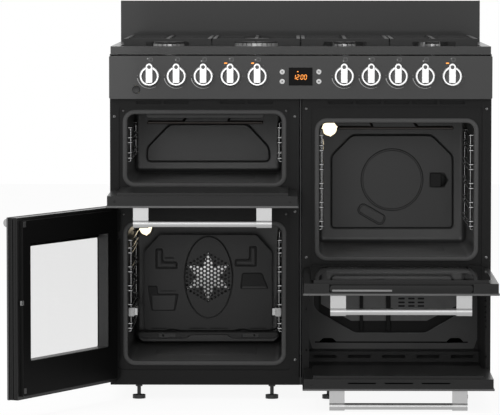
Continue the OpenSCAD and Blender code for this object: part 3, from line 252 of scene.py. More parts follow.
def add(name, verts, faces, mat, body, place=None, bevel=0.0, segments=2):
    """Object in the frame's coordinates that rides on a body; place moves it as it is built."""
    name = name.replace(" ", "_")
    mesh = bpy.data.meshes.new(name)
    if place is not None:
        verts = [place @ Vector(v) for v in verts]
    mesh.from_pydata([tuple(v) for v in verts], [], faces)
    mesh.update()
    mesh.materials.append(mat)
    obj = bpy.data.objects.new(name, mesh)
    bpy.context.collection.objects.link(obj)
    if bevel:
        mod = obj.modifiers.new("bevel", "BEVEL")
        mod.width = bevel
        mod.segments = segments
        mod.limit_method = "ANGLE"
        mod.angle_limit = math.radians(35)
    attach(obj, body)
    return obj


def bands(count, n, closed=False):
    """Faces between neighbouring rows of n points; closed joins the last row to the first."""
    faces = []
    for j in range(count if closed else count - 1):
        after = (j + 1) % count
        for k in range(n):
            q = (k + 1) % n
            faces.append((j * n + k, j * n + q, after * n + q, after * n + k))
    return faces


def box(name, a, b, mat, body, place=None, bevel=0.0, segments=2):
    (x0, y0, z0), (x1, y1, z1) = a, b
    verts = [(x, y, z) for x in (x0, x1) for y in (y0, y1) for z in (z0, z1)]
    faces = [(0, 1, 3, 2), (4, 6, 7, 5), (0, 4, 5, 1), (2, 3, 7, 6), (0, 2, 6, 4), (1, 5, 7, 3)]
    return add(name, verts, faces, mat, body, place, bevel=bevel, segments=segments)


def plate(name, outline, y0, y1, mat, body, bevel=0.0, segments=2):
    """Outline in X and Z, from depth y0 to y1."""
    n = len(outline)
    verts = [(x, y0, z) for x, z in outline] + [(x, y1, z) for x, z in outline]
    faces = [tuple(range(n)), tuple(range(2 * n - 1, n - 1, -1))]
    faces += [(i, i + n, (i + 1) % n + n, (i + 1) % n) for i in range(n)]
    return add(name, verts, faces, mat, body, bevel=bevel, segments=segments)


def ring_plate(name, outer, inner, y0, y1, mat, body, place=None):
    """Ring between two outlines with as many points, from depth y0 to y1."""
    n = len(outer)
    verts = [(x, y, z) for y in (y0, y1) for o in (outer, inner) for x, z in o]
    faces = []
    for i in range(n):
        j = (i + 1) % n
        faces += [(i, j, n + j, n + i), (2 * n + i, 3 * n + i, 3 * n + j, 2 * n + j),
                  (i, 2 * n + i, 2 * n + j, j), (n + i, n + j, 3 * n + j, 3 * n + i)]
    return add(name, verts, faces, mat, body, place)


def rounded(xc, zc, w, h, r, n):
    """Rectangle round (xc, zc) with corners of radius r."""
    pts = []
    for cx, cz, a0 in ((1, 1, 0), (-1, 1, 90), (-1, -1, 180), (1, -1, 270)):
        for k in range(n + 1):
            a = math.radians(a0 + 90 * k / n)
            pts.append((xc + cx * (w / 2 - r) + r * math.cos(a),
                        zc + cz * (h / 2 - r) + r * math.sin(a)))
    return pts


def circle(xc, zc, r, n, rz=None):
    """Circle round (xc, zc), or an ellipse where a height rz is given."""
    rz = rz or r
    return [(xc + r * math.cos(2 * math.pi * k / n), zc + rz * math.sin(2 * math.pi * k / n))
            for k in range(n)]


def turned(name, profile, mat, body, origin, n, axis="y", place=None):
    """Solid of revolution: profile of (radius, height) from origin, to the front or, with z, up."""
    verts = []
    ox, oy, oz = origin
    for r, h in profile:
        for k in range(n):
            a = 2 * math.pi * k / n
            c, d = r * math.cos(a), r * math.sin(a)
            if axis == "y":
                verts.append((ox + c, oy - h, oz + d))
            else:
                verts.append((ox + c, oy + d, oz + h))
    m = len(profile)
    faces = bands(m, n)
    faces.append(tuple(range(n)))
    faces.append(tuple(range(m * n - 1, (m - 1) * n - 1, -1)))
    obj = add(name, verts, faces, mat, body, place)
    bm_fix(obj)
    shade(obj, 35)
    return obj


def bm_fix(obj):
    """Faces of obj all turned outwards."""
    bm = bmesh.new()
    bm.from_mesh(obj.data)
    bmesh.ops.recalc_face_normals(bm, faces=bm.faces)
    bm.to_mesh(obj.data)
    bm.free()


def shade(obj, angle):
    """Smooth shading with edges sharper than angle kept."""
    mesh = obj.data
    mesh.polygons.foreach_set("use_smooth", [True] * len(mesh.polygons))
    bm = bmesh.new()
    bm.from_mesh(mesh)
    for e in bm.edges:
        if len(e.link_faces) == 2 and e.calc_face_angle(0) > math.radians(angle):
            e.smooth = False
    bm.to_mesh(mesh)
    bm.free()


def tube(name, points, r, mat, body, n, closed=False):
    """Round tube through points, with mitred corners."""
    pts = [Vector(p) for p in points]
    count = len(pts)
    verts = []
    normal = None
    for i, p in enumerate(pts):
        before = pts[i - 1] if i or closed else None
        after = pts[(i + 1) % count] if i < count - 1 or closed else None
        d0 = (p - before).normalized() if before is not None else None
        d1 = (after - p).normalized() if after is not None else None
        t = ((d0 or d1) + (d1 or d0)).normalized()
        if normal is None:
            normal = t.orthogonal().normalized()
        else:
            normal = (normal - t * normal.dot(t)).normalized()
        side = t.cross(normal)
        cosine = max(0.4, t.dot(d1 or d0))
        bend = (d1 - d0) if d0 is not None and d1 is not None else Vector((0, 0, 0))
        axis = bend.normalized() if bend.length > 1e-5 else None
        for k in range(n):
            a = 2 * math.pi * k / n
            off = (normal * math.cos(a) + side * math.sin(a)) * r
            if axis is not None:
                off += axis * off.dot(axis) * (1 / cosine - 1)
            verts.append(p + off)
    faces = bands(count, n, closed)
    if not closed:
        faces.append(tuple(range(n - 1, -1, -1)))
        faces.append(tuple(range((count - 1) * n, count * n)))
    obj = add(name, verts, faces, mat, body)
    shade(obj, 40)
    return obj


def joined(name, objects):
    """One object of several built by the helpers above, which all ride on the same body."""
    bpy.ops.object.select_all(action="DESELECT")
    for o in objects:
        for mod in list(o.modifiers):
            bpy.context.view_layer.objects.active = o
            o.select_set(True)
            bpy.ops.object.modifier_apply(modifier=mod.name)
            o.select_set(False)
    for o in objects:
        o.select_set(True)
    bpy.context.view_layer.objects.active = objects[0]
    bpy.ops.object.join()
    objects[0].name = name.replace(" ", "_")
    return objects[0]


# ------------------------------------------------------------ control panel

KNOB_Z = 0.8545
KNOB_FIRST, KNOB_PITCH = 0.1134, 0.0703
KNOB_X = [-KNOB_FIRST - KNOB_PITCH * (4 - i) for i in range(5)]
KNOB_X += [KNOB_FIRST + KNOB_PITCH * i for i in range(5)]
OVEN_KNOBS = (3, 4, 9)
KNOB_FOOT = FRONT - 0.0015
WELL_R = 0.0178
KNOB_RIM = [(0.0266, 0), (0.0266, 0.011), (0.0258, 0.0135), (0.0238, 0.0155), (0.0205, 0.0155),
            (0.0186, 0.0135), (WELL_R, 0.009), (WELL_R, 0.004)]
GRIP_W, GRIP_LOW, GRIP_DEEP = 0.0180, -0.0176, 0.0245
POINTER_Z, POINTER_R, EYE_R = 0.0243, 0.0092, 0.0052


def grip_outline(w, low, high, tip_r, n=14):
    """Bar with a rounded lower end and a round pointer eye at the top."""
    pts = [(-w / 2, low + 0.002), (-w / 2 + 0.002, low), (w / 2 - 0.002, low), (w / 2, low + 0.002)]
    a0 = -math.acos(min(1, (w / 2) / tip_r))
    for k in range(n + 1):
        a = a0 + (math.pi - 2 * a0) * k / n
        pts.append((tip_r * math.cos(a), high + tip_r * math.sin(a)))
    return pts


for i, x in enumerate(KNOB_X):
    body = f"control_{i + 1}"
    foot = (x, KNOB_FOOT, KNOB_Z)
    eye_place = (x, KNOB_FOOT - GRIP_DEEP + 0.0001, KNOB_Z + POINTER_Z)
    bar_shape = [(x + a, KNOB_Z + b) for a, b in grip_outline(GRIP_W, GRIP_LOW, POINTER_Z, POINTER_R)]
    parts = [turned("knob rim", KNOB_RIM, M_RING, body, foot, n=56),
             turned("knob well", [(WELL_R, 0.0005), (WELL_R, 0.006)], M_WELL, body, foot, n=40),
             plate("knob grip", bar_shape, KNOB_FOOT - GRIP_DEEP, KNOB_FOOT - 0.003, M_RING, body,
                   bevel=0.0022, segments=3),
             turned("knob eye", [(EYE_R, 0), (EYE_R, 0.0006)], M_WELL, body, eye_place, n=24)]
    knob = joined(f"knob piece {i + 1}", parts)
    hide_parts(f"knob_{i + 1}")


def printed(name, shapes, mat):
    """Flat prints just in front of the panel, each an outline in X and Z."""
    verts, faces = [], []
    for shape in shapes:
        start = len(verts)
        verts += [(px, FRONT - 0.00025, pz) for px, pz in shape]
        faces.append(tuple(range(start, start + len(shape))))
    return add(name, verts, faces, mat, "cabinet")


def rect(xc, zc, w, h):
    return [(xc - w / 2, zc - h / 2), (xc + w / 2, zc - h / 2), (xc + w / 2, zc + h / 2),
            (xc - w / 2, zc + h / 2)]


def arc_band(xc, zc, r, w0, w1, a0, a1, n=18):
    """Tapering arc: width w0 at angle a0, w1 at a1."""
    out, back = [], []
    for k in range(n + 1):
        a = math.radians(a0 + (a1 - a0) * k / n)
        w = w0 + (w1 - w0) * k / n
        out.append((xc + (r + w / 2) * math.cos(a), zc + (r + w / 2) * math.sin(a)))
        back.append((xc + (r - w / 2) * math.cos(a), zc + (r - w / 2) * math.sin(a)))
    return out + back[::-1]


TICK_RS = (0.032, 0.0305)
ICON_UP = 0.0435
light_prints, dim_prints, amber_prints = [], [], []
for i, x in enumerate(KNOB_X):
    if i in OVEN_KNOBS:
        # ring of ticks, left open at the top, and a lit mark
        for k in (0, 1, 2, 4, 5, 6, 7, 8, 9, 10, 11):
            a, r = math.radians(30 * k), TICK_RS[k % 2]
            dim_prints.append(circle(x + r * math.cos(a), KNOB_Z + r * math.sin(a), 0.0008, 10))
        amber_prints.append(rect(x - 0.0118, KNOB_Z + 0.0338, 0.0075, 0.0030))
    else:
        light_prints.append(arc_band(x, KNOB_Z, 0.0318, 0.0007, 0.0022, 300, 190))
        dim_prints.append(circle(x - 0.0315, KNOB_Z + 0.002, 0.0012, 10))
    # position icon: outline of the hob or oven with a dot beside it
    zc = KNOB_Z + ICON_UP
    for dx, dz, w, h in ((0.0035, 0.0042, 0.009, 0.0011), (0.0035, -0.0042, 0.009, 0.0011),
                         (-0.0009, 0, 0.0011, 0.0085), (0.0079, 0, 0.0011, 0.0085)):
        dim_prints.append(rect(x + dx, zc + dz, w, h))
    light_prints.append(circle(x - 0.0045 + 0.003 * (i % 2), zc + 0.002 - 0.003 * (i % 3), 0.0019, 10))
printed("panel prints", light_prints, M_PRINT)
printed("panel prints dim", dim_prints, M_PRINT_DIM)
printed("amber marks", amber_prints, M_AMBER)

# clock window: plain digits with a small mark over them, in front of a dark board
CLOCK_Z = 0.8535
BOARD_W, BOARD_H = 0.0614, 0.0464
DIGIT_W, DIGIT_H, DIGIT_T, SLANT = 0.0055, 0.0118, 0.0014, 0.12


def digit_bars(x, z, which):
    """Seven-segment digit as thin slanted bars."""
    w, t, m = DIGIT_W, DIGIT_T, DIGIT_H / 2
    segs = {
        "a": rect(x, z + m, w - t, t), "g": rect(x, z, w - t, t), "d": rect(x, z - m, w - t, t),
        "f": rect(x - w / 2, z + m / 2, t, m - t), "b": rect(x + w / 2, z + m / 2, t, m - t),
        "e": rect(x - w / 2, z - m / 2, t, m - t), "c": rect(x + w / 2, z - m / 2, t, m - t)}
    table = {"1": "bc", "2": "abged", "0": "abcdef"}
    return [[(px + (pz - z) * SLANT, pz) for px, pz in segs[k]] for k in table[which]]


digits = []
for dx, d in ((-0.0150, "1"), (-0.0060, "2"), (0.0050, "0"), (0.0140, "0")):
    digits += digit_bars(dx - 0.0015, CLOCK_Z - 0.0015, d)
for dz in (0.002, -0.005):
    digits.append(circle(-0.0016, CLOCK_Z + dz, 0.0007, 8))
digits.append(rect(-0.0075, CLOCK_Z + 0.0128, 0.0035, 0.0022))
digit_obj = printed("clock digits", digits, M_AMBER)
for v in digit_obj.data.vertices:
    v.co.y = FRONT + 0.0002

box("display board", (-BOARD_W / 2, FRONT + 0.00035, CLOCK_Z - BOARD_H / 2),
    (BOARD_W / 2, FRONT + 0.0006, CLOCK_Z + BOARD_H / 2), M_GLASS_BLACK, "cabinet")
KEY_PROFILE = [(0.0067, 0), (0.0067, 0.0014), (0.006, 0.0021), (0.0024, 0.0021), (0.002, 0.0014)]
DOT_PROFILE = [(0.0019, 0.0014), (0.0019, 0.0016)]
for i, (x, z) in enumerate(((-0.048, 0.8657), (0.0475, 0.8657), (-0.048, 0.8407), (0.0475, 0.8407))):
    body = f"clock_key_{i + 1}"
    key = joined(f"clock key {i + 1}",
                 [turned("clock key", KEY_PROFILE, M_WHITE, body, (x, FRONT, z), n=32),
                  turned("clock key dot", DOT_PROFILE, M_PRINT_DIM, body, (x, FRONT, z), n=12)])
    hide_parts(f"clock_button_{i + 1}")
button = turned("ignition cap", [(0.0100, -0.002), (0.0100, 0.0035), (0.0092, 0.0048), (0.006, 0.0042),
                                 (0.003, 0.0038)], M_SATIN_AND_FAN_SHADE, "ignition",
                (-0.429, FRONT, 0.8195), n=40)
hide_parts("ignition_button")

# ---------------------------------------------------------------- cavities

FLANGE_Y = -0.254
BACK_Y = 0.179
LEDGE_Y = 0.1752
PRESS_DEEP = 0.003
PRESS_SLOPE = 0.0035
PRESSED_Y = LEDGE_Y - PRESS_DEEP
CAVITY_W = 0.405
GRILL_C, GRILL_H = (-COL, 0.663), 0.180
OVEN_C, OVEN_H = (-COL, 0.2814), 0.356
TALL_C, TALL_H = (COL, 0.5552), 0.351


def gasket(name, centre, h):
    """Rubber gasket with a rounded section round a cavity's mouth."""
    y0, y1 = FLANGE_Y - 0.0074, FLANGE_Y
    xc, zc = centre
    rows = []
    for off, y in ((0.0, y1), (0.0006, y0 + 0.0022), (0.003, y0 + 0.0003), (0.0062, y0),
                   (0.0094, y0 + 0.0003), (0.0119, y0 + 0.0022), (0.0125, y1)):
        rows.append([(x, y, z) for x, z in rounded(xc, zc, CAVITY_W + 2 * off, h + 2 * off,
                                                   0.020 + off, 10)])
    verts = [v for row in rows for v in row]
    obj = add(name, verts, bands(len(rows), len(rows[0]), closed=True), M_RUBBER, "cabinet")
    bm_fix(obj)
    shade(obj, 60)
    return obj


rings = [gasket("gasket grill", GRILL_C, GRILL_H), gasket("gasket fan oven", OVEN_C, OVEN_H),
         gasket("gasket tall oven", TALL_C, TALL_H)]
rings = joined("gaskets", rings)
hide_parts("door_gaskets")


def inset(outline, d):
    """Outline moved inwards by d, corners mitred."""
    n = len(outline)
    area2 = sum(outline[i][0] * outline[(i + 1) % n][1] - outline[(i + 1) % n][0] * outline[i][1]
                for i in range(n))
    side = 1 if area2 > 0 else -1
    out = []
    for i in range(n):
        p, q, r = Vector(outline[i - 1]), Vector(outline[i]), Vector(outline[(i + 1) % n])
        e, f = (q - p).normalized(), (r - q).normalized()
        a, b = Vector((-e.y, e.x)) * side, Vector((-f.y, f.x)) * side
        m = (a + b).normalized()
        k = d / max(0.35, m.dot(a))
        out.append((q.x + m.x * k, q.y + m.y * k))
    return out


def corner(a, b, c, r, n):
    """Points of the rounded corner at b, between a and c."""
    k = min(r, (a - b).length * 0.45, (c - b).length * 0.45)
    p0, p1 = b + (a - b).normalized() * k, b + (c - b).normalized() * k
    return [tuple(p0 * (1 - j / n) ** 2 + b * 2 * (j / n) * (1 - j / n) + p1 * (j / n) ** 2)
            for j in range(n + 1)]


def soft_outline(corners, r, n):
    """Closed outline with its corners rounded."""
    pts = [Vector(p) for p in corners]
    out = []
    for i, b in enumerate(pts):
        out += corner(pts[i - 1], b, pts[(i + 1) % len(pts)], r, n)
    return out


def layers(name, rows, mat, body="cabinet", place=None, angle=40, lid=True, base=False):
    """Skin over rows of (outline, depth), each outline with as many points."""
    n = len(rows[0][0])
    verts = [(x, y, z) for outline, y in rows for x, z in outline]
    faces = bands(len(rows), n)
    if lid:
        faces.append(tuple(range((len(rows) - 1) * n, len(rows) * n)))
    if base:
        faces.append(tuple(range(n)))
    obj = add(name, verts, faces, mat, body, place)
    bm_fix(obj)
    shade(obj, angle)
    return obj


def pressing(name, outline, y, depth, slope, mat):
    """Raised pressing with sloping sides, from a wall at depth y towards the front."""
    return layers(name, [(outline, y), (inset(outline, slope * 0.25), y - depth * 0.7),
                         (inset(outline, slope), y - depth)], mat, angle=10)


def pocket(name, outline, y, mat, bed_shade_mat, lip=0.0022, rise=0.0016):
    """Recess as it looks from the front: a low rounded lip round a floor painted dark as its shade."""
    rim = layers(name + " lip", [(outline, y), (inset(outline, lip * 0.4), y - rise),
                                 (inset(outline, lip), y - rise), (inset(outline, lip * 1.5), y)],
                 mat, angle=70, lid=False)
    bed = layers(name + " bed", [(inset(outline, lip * 1.4), y - 0.0001),
                                 (inset(outline, lip * 1.6), y - 0.0003)], bed_shade_mat, angle=10)
    return [rim, bed]


def bead(name, outline, y, r, mat, n=6):
    """Thin rounded bead along a closed outline at depth y."""
    return tube(name, [(x, y, z) for x, z in outline], r, mat, "cabinet", n=n, closed=True)


def bent(points, r):
    """Points of a wire with rounded bends."""
    pts = [Vector(p) for p in points]
    out = [tuple(pts[0])]
    for a, b, c in zip(pts, pts[1:], pts[2:]):
        out += corner(a, b, c, r, 4)
    out.append(tuple(pts[-1]))
    return out


def screw(name, x, y, z, mat, r, turn=20):
    """Round-headed screw with a cross slot, its head towards the front."""
    head = turned(name, [(r, -0.0005), (r, 0.0008), (r * 0.8, 0.0018), (r * 0.45, 0.0024)], mat,
                  "cabinet", (x, y, z), n=18)
    slots = []
    # cross slot drawn as black plates: painted shade in the slot
    for a in (turn, turn + 90):
        c, s = math.cos(math.radians(a)), math.sin(math.radians(a))
        h, w = r * 0.55, r * 0.13
        pts = [(x + c * h - s * w, z + s * h + c * w), (x - c * h - s * w, z - s * h + c * w),
               (x - c * h + s * w, z - s * h - c * w), (x + c * h + s * w, z + s * h - c * w)]
        slots.append(plate("slot", pts, y - 0.0026, y - 0.0020, M_DARK_STEEL_AND_SHADE, "cabinet"))
    return joined(name, [head] + slots)


def lining(name, centre, h, mat):
    """Lining of a heated cavity, with its corners and back edges rounded as in pressed steel."""
    xc, zc = centre
    r, off = 0.016, 0.0004
    rows = [(rounded(xc, zc, CAVITY_W - 2 * off, h - 2 * off, 0.0196, 8), y)
            for y in (FLANGE_Y + 0.0006, -0.1, 0.05, BACK_Y - off - r)]
    for k in range(1, 7):
        a = math.radians(15 * k)
        d = off + r * (1 - math.cos(a))
        rows.append((rounded(xc, zc, CAVITY_W - 2 * d, h - 2 * d, 0.0202 - d, 8),
                     BACK_Y - off - r + r * math.sin(a)))
    obj = layers(name, rows, mat, angle=50)
    # upward floor faces get the lighter copy of the enamel: painted light
    obj.data.materials.append(M_LIT_CAVITY_FLOOR)
    for face in obj.data.polygons:
        if abs(face.normal.z) > 0.8 and face.center.z < zc:
            face.material_index = 1
    return obj


# outlines drawn in x and depth, laid flat with their height along z
FLAT = Matrix(((1, 0, 0, 0), (0, 0, 1, 0), (0, 1, 0, 0), (0, 0, 0, 1)))


def floor_pressing(name, xc, y, z, w, d):
    """Low flat-topped pressing of a cavity's floor."""
    # in the floor's lighter enamel: painted light
    layers(name, [(rounded(xc, 0.0, w, d, 0.02, 6), 0.0),
                  (rounded(xc, 0.0, w - 0.010, d - 0.010, 0.018, 6), 0.0022)], M_LIT_CAVITY_FLOOR,
           place=Matrix.Translation((0, y, z)) @ FLAT)


lining("grill lining", GRILL_C, GRILL_H, M_CAVITY)
lining("fan oven lining", OVEN_C, OVEN_H, M_FAN_CAVITY)
lining("tall oven lining", TALL_C, TALL_H, M_CAVITY)

# Outlines on the walls were read off the photo, through the camera at the end of this file, and
# are given in metres as (x, z).

# grill: pressing on the back wall and on the floor, and the element's shield
grill_press = soft_outline([(-0.3571, 0.7084), (-0.1448, 0.7085), (-0.0842, 0.6438), (-0.0842, 0.6051),
                            (-0.4207, 0.6048), (-0.4206, 0.6436)], 0.013, 5)
pressing("grill back pressing", grill_press, LEDGE_Y, PRESS_DEEP, PRESS_SLOPE, M_CAVITY)
# bead in edge grey, darker than the wall: painted shade line along the pressing
bead("grill back bead", inset(grill_press, -0.0012), LEDGE_Y - 0.0007, 0.0011, M_NUT_GREY_AND_PAINTED_LINES)
floor_pressing("grill floor pressing", -COL, 0.03, 0.5731, 0.262, 0.23)
plate("grill element shield", [(-0.410, 0.7518), (-0.094, 0.7518), (-0.100, 0.7405), (-0.404, 0.7405)],
      -0.200, -0.197, M_SATIN_AND_FAN_SHADE, "cabinet", bevel=0.001)

# tall oven: octagon, round plate, slanted slot and the socket of the back wall
tall_press = soft_outline([(0.1411, 0.6785), (0.3603, 0.6786), (0.4183, 0.6213), (0.4191, 0.4223),
                           (0.0853, 0.4220), (0.0850, 0.6211)], 0.012, 5)
pressing("tall back pressing", tall_press, LEDGE_Y, PRESS_DEEP, PRESS_SLOPE, M_BODY)
# bead in edge grey, darker than the wall, and grooves and socket collar in recess shade: painted shade
# lines
bead("tall back bead", inset(tall_press, -0.0012), LEDGE_Y - 0.0007, 0.0011, M_NUT_GREY_AND_PAINTED_LINES)
cx, cz = 0.2518, 0.5557
bead("tall round groove", circle(cx, cz, 0.0848, 72), PRESSED_Y, 0.0013, M_PAINTED_RECESS_SHADE)
pressing("tall round plate", circle(cx, cz, 0.0810, 64), PRESSED_Y, 0.0012, 0.002, M_BODY)
cx, cz = 0.1958, 0.4606
c, s = math.cos(math.radians(-30)), math.sin(math.radians(-30))
slant = [(cx + px * c - pz * s, cz + px * s + pz * c)
         for px, pz in rounded(0, 0, 0.0793, 0.0301, 0.0123, 5)]
bead("tall slanted groove", slant, PRESSED_Y, 0.0013, M_PAINTED_RECESS_SHADE)
pressing("tall slanted plate", inset(slant, 0.0035), PRESSED_Y, 0.0014, 0.002, M_BODY)
cx, cz = 0.3831, 0.5550
NUT_R, NUT_Y = 0.0235, PRESSED_Y - 0.0042
layers("tall socket nut", [(circle(cx, cz, NUT_R, 6), PRESSED_Y), (circle(cx, cz, NUT_R, 6), NUT_Y + 0.001),
                           (circle(cx, cz, 0.0208, 6), NUT_Y)], M_NUT_GREY_AND_PAINTED_LINES, angle=25)
layers("tall socket collar", [(circle(cx, cz, 0.0175, 32), NUT_Y),
                              (circle(cx, cz, 0.0170, 32), NUT_Y - 0.004),
                              (circle(cx, cz, 0.0148, 32), NUT_Y - 0.0048)], M_PAINTED_RECESS_SHADE, angle=40)
cx, cz = 0.3707, 0.5555
plate("tall socket block", rounded(cx, cz, 0.0312, 0.0394, 0.003, 4), PRESSED_Y - 0.0147,
      PRESSED_Y - 0.0003, M_DARK_STEEL_AND_SHADE, "cabinet", bevel=0.0016)
floor_pressing("tall floor pressing", COL, 0.03, 0.3798, 0.272, 0.25)

# fan oven: pressings of the cover, the groove round the fan and the fan itself, its lit part a bright
# painted star
COVER_Y = 0.137
ex, ez = -0.2507, 0.2899
# dark groove bead and lighter ridge bead round the fan: painted shade and painted highlight
bead("fan cover groove", circle(ex, ez, 0.0646, 80, 0.1111), COVER_Y, 0.0016, M_PAINTED_RECESS_SHADE)
bead("fan cover ridge", circle(ex, ez, 0.0673, 80, 0.1138), COVER_Y, 0.0011, M_NUT_GREY_AND_PAINTED_LINES)
brackets = {
    "left": [(-0.3963, 0.3689), (-0.3749, 0.3689), (-0.3750, 0.3332), (-0.3356, 0.3333),
             (-0.3356, 0.3124), (-0.3964, 0.3123)],
    "right": [(-0.1400, 0.3758), (-0.1186, 0.3758), (-0.1186, 0.3192), (-0.1794, 0.3191),
              (-0.1794, 0.3400), (-0.1400, 0.3401)]}
# pocket floors in recess shade are painted shade; the wedge lip and bin face, lighter than the cover, are
# painted highlight
for tag, shape in brackets.items():
    pocket(f"cover {tag} bracket", soft_outline(shape, 0.006, 3), COVER_Y, M_COVER, M_PAINTED_RECESS_SHADE)
    pressing(f"cover {tag} ridge", soft_outline(inset(shape, 0.0062), 0.0015, 3), COVER_Y - 0.0003,
             0.0014, 0.0006, M_COVER)
wedge = soft_outline([(-0.1592, 0.3027), (-0.1044, 0.3027), (-0.0852, 0.2577), (-0.1646, 0.2576)], 0.007, 4)
pocket("cover wedge", wedge, COVER_Y, M_COVER, M_PAINTED_RECESS_SHADE)
wedge_lip = soft_outline([(-0.1581, 0.2658), (-0.0934, 0.2659), (-0.0907, 0.2588), (-0.1603, 0.2587)],
                         0.003, 3)
plate("cover wedge lip", wedge_lip, COVER_Y - 0.0022, COVER_Y, M_NUT_GREY_AND_PAINTED_LINES, "cabinet", bevel=0.0008)
bin_shape = soft_outline([(-0.4179, 0.2661), (-0.3910, 0.2661), (-0.3900, 0.2447), (-0.3324, 0.2447),
                          (-0.3423, 0.1974), (-0.4076, 0.1973)], 0.005, 3)
pocket("cover bin", bin_shape, COVER_Y, M_COVER, M_PAINTED_RECESS_SHADE, lip=0.0013)
bin_face = soft_outline([(-0.4070, 0.2408), (-0.3395, 0.2409), (-0.3456, 0.1990), (-0.4043, 0.1990)],
                        0.003, 3)
pressing("cover bin face", bin_face, COVER_Y - 0.0003, 0.0016, 0.0012, M_NUT_GREY_AND_PAINTED_LINES)
# slots drawn as black plates: painted shade in the openings
for k, (x0, x1, z, w) in enumerate((
        (-0.3828, -0.3400, 0.2521, 0.0030), (-0.3712, -0.3449, 0.3429, 0.0055),
        (-0.4088, -0.3649, 0.1491, 0.0042), (-0.3034, -0.2552, 0.1492, 0.0042),
        (-0.2469, -0.1976, 0.1493, 0.0042), (-0.1372, -0.0923, 0.1494, 0.0042))):
    plate(f"cover slot {k}", rounded((x0 + x1) / 2, z, x1 - x0, w, w * 0.45, 4), COVER_Y - 0.0005,
          COVER_Y + 0.0002, M_DARK_STEEL_AND_SHADE, "cabinet")
# bright star of fan alloy behind the cover holes: painted light of the fan's lit blades
STAR_X, STAR_Z = -0.252, 0.2904
STAR_RS = (0.067, 0.033)
star = []
for k in range(12):
    a, r = math.radians(90 + 30 * k), STAR_RS[k % 2]
    star.append((STAR_X + r * math.cos(a), STAR_Z + r * math.sin(a)))
star_obj = layers("fan star", [(star, 0.1442), (star, 0.1430), (inset(star, 0.004), 0.1418)], M_LIT_FAN_STAR,
                  "fan", base=True, angle=20)

# guard rail under the fan cover: lower lip, raised middle, screw plates and the gap over it, a black tube
# of painted shade
rail = soft_outline([(-0.4454, 0.1409), (-0.0577, 0.1414), (-0.0577, 0.1265), (-0.0700, 0.1133),
                     (-0.4332, 0.1128), (-0.4455, 0.1260)], 0.008, 5)
layers("lower rail", [(rail, 0.136), (rail, 0.129), (inset(rail, 0.0025), 0.1265)], M_FAN_CAVITY,
       base=True, angle=15)
step = soft_outline([(-0.4412, 0.1400), (-0.0618, 0.1405), (-0.0618, 0.1281), (-0.0714, 0.1234),
                     (-0.1864, 0.1233), (-0.2001, 0.1332), (-0.2988, 0.1330), (-0.3125, 0.1231),
                     (-0.4317, 0.1230), (-0.4413, 0.1276)], 0.004, 3)
layers("lower rail step", [(step, 0.1266), (inset(step, 0.0012), 0.1235)], M_COVER, angle=15)
# dark bead along the step: painted shade line
bead("lower rail step line", step, 0.1262, 0.0011, M_PAINTED_RECESS_SHADE)
for k, (x0, x1, z0, z1, screw_x) in enumerate(((-0.3877, -0.3398, 0.1250, 0.1376, -0.3752),
                                               (-0.1576, -0.1124, 0.1253, 0.1379, -0.1256))):
    middle = (z0 + z1) / 2
    pressing(f"rail plate {k}", rounded((x0 + x1) / 2, middle, x1 - x0, z1 - z0, 0.001, 3), 0.1236,
             0.0012, 0.0008, M_FAN_CAVITY)
    screw(f"rail screw {k}", screw_x, 0.1226, middle, M_DARK_STEEL_AND_SHADE, 0.0030)
gap = [(-0.4457, 0.1556), (-0.4403, 0.1462), (-0.4224, 0.1429), (-0.3676, 0.1430),
       (-0.3552, 0.1469), (-0.3429, 0.1463), (-0.3264, 0.1422), (-0.1838, 0.1424),
       (-0.1674, 0.1465), (-0.1537, 0.1471), (-0.1372, 0.1433), (-0.0769, 0.1444),
       (-0.0577, 0.1533)]
tube("cover gap", [(x, 0.1355, z) for x, z in gap], 0.0020, M_DARK_STEEL_AND_SHADE, "cabinet", n=8)
floor_pressing("fan oven floor pressing", -COL, -0.02, 0.1035, 0.272, 0.20)

# side racks: bent wires with rounded corners, welded to uprights near the wall
RACK_Y0, RACK_Y1 = -0.229, 0.119
RUNG_R, UPRIGHT_R, BEND_R = 0.0021, 0.0016, 0.006
SHELF_PITCH, WIRE_GAP = 0.050, 0.013
OVEN_FLOOR, TALL_FLOOR = 0.1034, 0.3797
GRILL_RUNGS = [0.636, 0.650, 0.677, 0.690]
OVEN_RUNGS = [OVEN_FLOOR + 0.083 + SHELF_PITCH * k + d for k in range(5) for d in (0, WIRE_GAP)]
TALL_RUNGS = [TALL_FLOOR + 0.077 + SHELF_PITCH * k + d for k in range(5) for d in (0, WIRE_GAP)]


def wire(name, points, r):
    return tube(name, bent(points, BEND_R), r, M_CHROME, "cabinet", n=10)


def rack(xc, side, rungs, head):
    """Rungs, uprights and head wire of the rack on one side of a cavity."""
    wall = xc + side * 0.2020
    x = xc + side * 0.1915
    up = x + side * 0.0042
    foot = rungs[0] - 0.009
    made = [wire("rung", [(wall, RACK_Y0, z), (x, RACK_Y0, z), (x, RACK_Y1, z), (wall, RACK_Y1, z)], RUNG_R)
            for z in rungs]
    for y in (RACK_Y0 + 0.012, RACK_Y1 - 0.014):
        made.append(wire("upright", [(wall, y, foot), (up, y, foot), (up, y, head), (wall, y, head)],
                         UPRIGHT_R))
    y0, y1 = RACK_Y0 + 0.004, RACK_Y1 - 0.004
    made.append(wire("head", [(wall, y0, head), (x, y0, head), (x, y1, head), (wall, y1, head)], RUNG_R))
    return made


